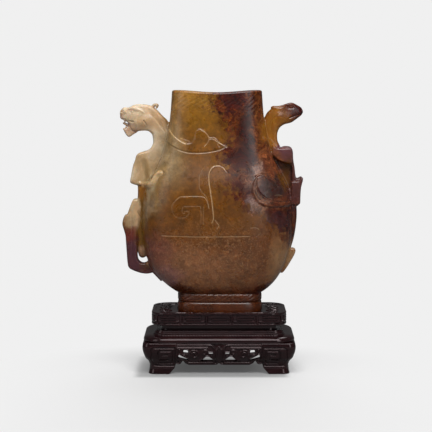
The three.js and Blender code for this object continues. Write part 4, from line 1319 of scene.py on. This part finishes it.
# Clouds over it: middle across and up, reach across and up, softness, strength, colour
CLOUDS = [
    (-30, 138, 8, 26, 0.7, 0.7, (164, 124, 76)), (-36, 108, 13, 22, 0.6, 0.9, (150, 124, 86)),
    (-44, 84, 8, 16, 0.5, 0.7, (136, 106, 64)), (-47, 52, 6, 18, 0.5, 0.7, (104, 66, 34)),
    # The cloud at -46, 76 is a painted highlight: the gloss along the left flank's edge.
    (-46, 76, 3.6, 13, 0.6, 0.7, (168, 140, 110)), (10, 140, 10, 18, 0.6, 0.7, (106, 64, 26)),
    (22, 40, 20, 20, 0.6, 0.7, (94, 56, 34)), (44, 38, 9, 20, 0.5, 0.8, (138, 100, 68)),
    (-42, 34, 12, 18, 0.4, 0.9, (116, 66, 56)), (-35, 25, 11, 8, 0.5, 0.9, (130, 90, 92)),
    (-12, 34, 24, 12, 0.7, 0.6, (140, 94, 64)), (-24, 15, 12, 5, 0.5, 0.8, (74, 38, 22)),
    (34, 17, 14, 4, 0.5, 0.8, (66, 30, 14)), (10, 100, 5, 4, 0.6, 0.8, (152, 104, 46)),
]
SKIN_CLOUDS = [
    (10, 146, 9, 6, 0.5, 0.7, (72, 34, 24)), (15, 126, 7, 13, 0.6, 0.7, (104, 56, 26)),
    (30, 122, 7, 34, 0.45, 0.9, (122, 74, 44)), (21, 120, 4.5, 26, 0.5, 0.9, (44, 22, 20)),
    (12, 105, 7, 7, 0.5, 0.85, (54, 26, 22)), (12, 93, 8, 4, 0.6, 0.7, (104, 60, 28)),
    (22, 90, 5, 5, 0.6, 0.7, (124, 90, 74)), (14, 82, 6, 8, 0.6, 0.8, (70, 36, 30)),
    (37, 100, 8, 14, 0.5, 0.9, (134, 80, 54)), (37, 85.5, 12, 7.5, 0.3, 0.9, (62, 54, 52)),
    # The grey clouds at 26.5, 98.4 and at 24.5, 74 are partly a pale vein in the stone and partly a painted
    # reflection of the gloss down the right flank.
    (29, 77, 7, 3, 0.6, 0.8, (142, 98, 78)), (26.5, 98.4, 3.2, 5, 0.6, 0.5, (136, 118, 110)),
    (24.5, 74, 3.5, 5, 0.6, 0.7, (122, 106, 104)), (28, 66, 6, 8, 0.5, 0.8, (132, 98, 74)),
    (40, 62, 10, 7, 0.5, 0.85, (66, 48, 50)), (40, 74, 8, 4, 0.5, 0.8, (116, 72, 52)),
]
DRAGON_CLOUDS = [
    (-64, 122, 27, 36, 0.25, 1, (218, 196, 166)), (-46, 130, 13, 9, 0.6, 0.75, (180, 142, 100)),
    (-50, 97, 9, 15, 0.5, 0.85, (172, 140, 100)), (-47, 88, 7, 9, 0.5, 0.5, (196, 176, 140)),
    (-58, 70, 6, 12, 0.5, 1, (190, 162, 126)), (-57, 66, 2.4, 5, 0.7, 0.6, (206, 164, 124)),
    (-59, 30, 12, 23, 0.25, 1, (84, 52, 56)), (-59.4, 54, 3.4, 5.5, 0.6, 0.85, (108, 50, 44)),
    (-50.8, 60, 4, 27, 0.35, 1, (120, 84, 36)), (-51, 38, 3.4, 4, 0.5, 0.9, (164, 126, 98)),
    # The cloud at -47.6, 94 is painted shade in the valley between the shoulder and the paw; the one at -51,
    # 82 is painted shade on the recessed inner limb below the shoulder.
    (-47.6, 94, 2.4, 8, 0.6, 0.6, (120, 92, 46)), (-51, 82, 4, 6, 0.5, 0.9, (146, 96, 40)),
    (-67, 132, 4, 12, 0.5, 0.7, (198, 146, 122)), (42, 124, 10, 18, 0.3, 1, (148, 96, 38)),
    (56, 138, 10, 8, 0.4, 1, (92, 48, 34)), (58, 136, 5, 4, 0.5, 0.9, (62, 32, 32)),
    (47, 109, 9, 6, 0.4, 0.95, (104, 66, 70)), (-61, 123, 8, 4.5, 0.5, 0.7, (176, 138, 112)),
    (53, 92, 8, 22, 0.35, 1, (88, 54, 50)), (47, 94, 4, 10, 0.5, 0.9, (104, 66, 26)),
    (50, 34, 8, 12, 0.4, 1, (158, 120, 84)),
]
SKIN_DARK, SKIN_BROWN = (58, 28, 24), (112, 62, 34)
FRINGE = (74, 34, 16)
FRECKLE = (176, 134, 96)
# The pale paint: a painted highlight on the carved lines, and the paw's own pale colour on the paw.
PALE_AND_HIGHLIGHT_TINT = (232, 196, 146)
SHEEN = 0.012  # the pale light that the polish adds, left out of the stone's own colour
WOOD_DARK, WOOD_BROWN, WOOD_CLOUD = (20, 9, 11), (42, 20, 22), (46, 21, 20)


def stone(tint):
    """The stone's own colour where it looks like this on a screen."""
    return (*(max(value - SHEEN, 0.001) for value in srgb(tint)[:3]), 1)


def clouded(paint, colour, clouds, place):
    """The colour with soft clouds of other colours over it. A few of the clouds are painted highlights and
    painted shade.
    """
    for x, z, reach_x, reach_z, soft, strength, tint in clouds:
        share = paint.patch(place, (x, 0, z), (reach_x, ANY_DEPTH, reach_z), soft)
        colour = paint.mix(paint.times(share, strength), colour, stone(tint))
    return colour


def with_skin(paint, colour, place, drifted, ragged):
    """The stone's dark skin beyond a ragged edge, with flecks of russet in front of it."""
    mottle = paint.step(paint.noise(ragged, 5, 6, 0.7), 0.45, 0.56)
    skin = paint.mix(mottle, stone(SKIN_DARK), stone(SKIN_BROWN))
    skin = clouded(paint, skin, SKIN_CLOUDS, ragged)
    skin = paint.shaded(skin, paint.noise(ragged, 3.5, 5, 0.7), 5.5)
    wander = paint.times(paint.off_middle(paint.noise(place, 5, 6, 0.75)), 44)
    beyond = paint.math("ADD", paint.past_edge(drifted, SKIN_EDGE), wander)
    colour = paint.mix(paint.step(beyond, -2, 2), colour, skin)
    flecks = paint.step(paint.noise(ragged, 2.6, 5, 0.7), 0.49, 0.56)
    fringe = paint.times(paint.step(beyond, -13, -1), flecks)
    return paint.mix(paint.times(fringe, 0.75), colour, stone(FRINGE))


def with_freckles(paint, colour, place):
    """Pale freckles low on the belly, and fine shading over the whole stone."""
    freckles = paint.step(paint.noise(place, 1.1, 5, 0.8), 0.48, 0.64)
    low = paint.patch(place, (-4, 0, 38), (44, ANY_DEPTH, 26), 0.6)
    colour = paint.mix(paint.times(paint.times(freckles, low), 0.55), colour, stone(FRECKLE))
    return paint.shaded(colour, paint.noise(place, 2, 5, 0.75), 1.5)


def jade_material():
    paint = Paint(bpy.data.materials.new("jade"))
    place = paint.place(VASE_ORIGIN)
    drifted = paint.warp(paint.warp(place, 22, 20), 6, 8)
    ragged = paint.warp(drifted, 2.2, 8)
    colour = paint.bands(drifted, [(z, stone(tint)) for z, tint in BANDS])
    colour = clouded(paint, colour, CLOUDS, drifted)
    colour = paint.shaded(colour, paint.noise(drifted, 7, 4, 0.6), 1.6)
    colour = with_skin(paint, colour, place, drifted, ragged)
    colour = with_freckles(paint, colour, place)
    colour = clouded(paint, colour, DRAGON_CLOUDS, drifted)
    colour = paint.shaded(colour, paint.noise(place, 5, 5, 0.7), 0.8)
    # Painted highlight along the carved lines, and the paw's own pale colour, from the attribute.
    pale_and_highlight_share = paint.node("Attribute", {}, "Fac", attribute_name=PALE_AND_HIGHLIGHT)
    return paint.finish({
        "Base Color": paint.mix(pale_and_highlight_share, colour, stone(PALE_AND_HIGHLIGHT_TINT)),
        "Roughness": paint.between(paint.noise(drifted, 8), 0.24, 0.34),
        "Normal": paint.bump(paint.noise(place, 1.6, 4, 0.6), 0.02 * MM),
        "IOR": 1.52, "Subsurface Weight": 0.3, "Subsurface Scale": 0.005,
        "Subsurface Radius": (1.0, 0.55, 0.25),
    })


def wood_material():
    paint = Paint(bpy.data.materials.new("hardwood"))
    place = paint.place(STAND_ORIGIN)
    stretched = paint.vector("MULTIPLY", place, (0.12, 1, 1))
    fibres = paint.noise(stretched, 0.9, 6, 0.65, 0.3)
    colour = paint.mix(paint.step(fibres, 0.35, 0.7), srgb(WOOD_DARK), srgb(WOOD_BROWN))
    cloud = paint.step(paint.noise(place, 16, 3, 0.5), 0.5, 0.75)
    return paint.finish({
        "Base Color": paint.mix(paint.times(cloud, 0.5), colour, srgb(WOOD_CLOUD)),
        "Roughness": paint.between(fibres, 0.1, 0.17), "Normal": paint.bump(fibres, 0.004 * MM),
        "IOR": 1.48, "Specular Tint": (1.0, 0.78, 0.8, 1), "Coat Weight": 0.25,
        "Coat Roughness": 0.06,
    })


# Studio

BACKDROP = 0.871  # how bright the photograph's background is
ROOM_LIGHT = 0.07
# How pale the floor is near the object, further in front of it (painted shade), under and just in front of
# the stand (painted shadow), and to the object itself
FLOOR_NEAR, FLOOR_FRONT_SHADE, FLOOR_PAINTED_SHADOW, FLOOR_BOUNCE = 0.8, 0.7, 0.32, 0.2
UNDER_STAND = ((0.054, 0.047), (0.042, 0.033))  # where that painted shadow begins and is full, in X and Y
SHADOW_REACH = (0.034, 0.3)  # the floor runs into the backdrop between these distances


def grey(level):
    return (level, level, level, 1)


def floor_colour(paint, place, seen):
    """Pale, with painted shade further in front and a painted shadow under and just in front of the stand,
    darkest there. It throws less light back at the object than the camera sees on it."""
    # Painted shade: the floor darker further in front of the object.
    pale = paint.mix(paint.step(place["Y"], -0.2, -0.04), grey(FLOOR_FRONT_SHADE), grey(FLOOR_NEAR))
    in_width, in_depth = (
        paint.step(paint.math("ABSOLUTE", place[axis]), *reach)
        for axis, reach in zip("XY", UNDER_STAND)
    )
    # Painted shadow under and just in front of the stand.
    pale = paint.mix(paint.times(in_depth, in_width), pale, grey(FLOOR_PAINTED_SHADOW))
    return paint.mix(seen, grey(FLOOR_BOUNCE), pale)


def backdrop_share(paint, place):
    """How far the floor has run into the backdrop: soonest behind the object."""
    across, behind, before = (
        paint.times(place[axis], stretch) for axis, stretch in (("X", 2), ("Y", 3.2), ("Y", -0.45))
    )
    along = paint.math("MAXIMUM", behind, before)
    away = paint.length(paint.node("CombineXYZ", {0: across, 1: along}))
    inputs = {"Value": paint.step(away, *SHADOW_REACH), "To Min": 0.09, "To Max": 1.0}
    return paint.node("MapRange", inputs)


def floor_material():
    """A floor that takes the shadow near the object and is one with the backdrop further out."""
    paint = Paint(bpy.data.materials.new("floor"))
    seen = paint.node("LightPath", {}, "Is Camera Ray")
    place = paint.split(paint.node("TexCoord", {}, "Object"))
    colour = floor_colour(paint, place, seen)
    paint.finish({"Base Color": colour, "Roughness": 0.7, "Specular IOR Level": 0.1})
    share = paint.times(backdrop_share(paint, place), seen)
    glow = paint.node("Emission", {"Color": grey(BACKDROP), "Strength": 1.0})
    floor = paint.tree.nodes["Principled BSDF"].outputs[0]
    mixed = paint.node("MixShader", {0: share, 1: floor, 2: glow})
    paint.fill(paint.tree.nodes["Material Output"], {"Surface": mixed})
    return paint.owner


def add_floor():
    bpy.ops.mesh.primitive_plane_add(size=8, location=(0, 0, 0))
    floor = bpy.context.object
    floor.name = "floor"
    floor.data.materials.append(floor_material())


def add_world():
    """A dim room for the object, a pale backdrop for the camera."""
    paint = Paint(bpy.data.worlds.new("studio"))
    seen = paint.node("LightPath", {}, "Is Camera Ray")
    level = paint.node("MapRange", {"Value": seen, "To Min": ROOM_LIGHT, "To Max": BACKDROP})
    paint.fill(paint.tree.nodes["Background"], {"Color": grey(1), "Strength": level})
    bpy.context.scene.world = paint.owner


CAMERA_LENS = 122.236  # millimetres, on a sensor 36 mm wide
CAMERA_PLACE = ((STAND_X - 2.06) * MM, -1.0, 0.19559)  # metres
CAMERA_TILT = 5.2146  # degrees down from level
LIT_HEIGHT = 0.11  # the softboxes are aimed at this height on the vase
# Azimuth, 0 in front and positive to the right, elevation, distance, width and height, radiance
SOFTBOXES = {
    "softbox_front": (6, 53, 1.1, (1.0, 0.7), 6.2),
    "softbox_right": (31, 20, 0.95, (0.3, 0.8), 1.9),
    "softbox_left": (-55, 22, 0.95, (0.4, 0.8), 1.1),
    "softbox_back": (170, 58, 1.0, (0.8, 0.5), 2.5),
}


def add_camera():
    camera = bpy.data.cameras.new("camera")
    camera.lens = CAMERA_LENS
    camera.sensor_width = 36
    seat = bpy.data.objects.new("camera", camera)
    seat.location = CAMERA_PLACE
    seat.rotation_euler = (math.radians(90 - CAMERA_TILT), 0, 0)
    bpy.context.scene.collection.objects.link(seat)
    bpy.context.scene.camera = seat


def add_softbox(name, azimuth, elevation, distance, size, radiance):
    """A rectangular softbox aimed at the vase."""
    turn, rise = math.radians(azimuth), math.radians(elevation)
    level = math.cos(rise)
    direction = Vector((math.sin(turn) * level, -math.cos(turn) * level, math.sin(rise)))
    light = bpy.data.lights.new(name, "AREA")
    light.shape = "RECTANGLE"
    light.size, light.size_y = size
    light.energy = radiance * math.pi * size[0] * size[1]
    lamp = bpy.data.objects.new(name, light)
    lamp.location = Vector((STAND_X * MM, 0, LIT_HEIGHT)) + direction * distance
    lamp.rotation_euler = (-direction).to_track_quat("-Z", "Y").to_euler()
    bpy.context.scene.collection.objects.link(lamp)


def add_studio():
    bpy.context.scene.view_settings.view_transform = "Standard"
    add_world()
    add_floor()
    add_camera()
    for name, setting in SOFTBOXES.items():
        add_softbox(name, *setting)


jade = jade_material()
hardwood = wood_material()
add_vase_body(jade)
add_dragons(jade)
add_round_frames(hardwood)
add_legs(hardwood)
add_aprons(hardwood)
add_studio()
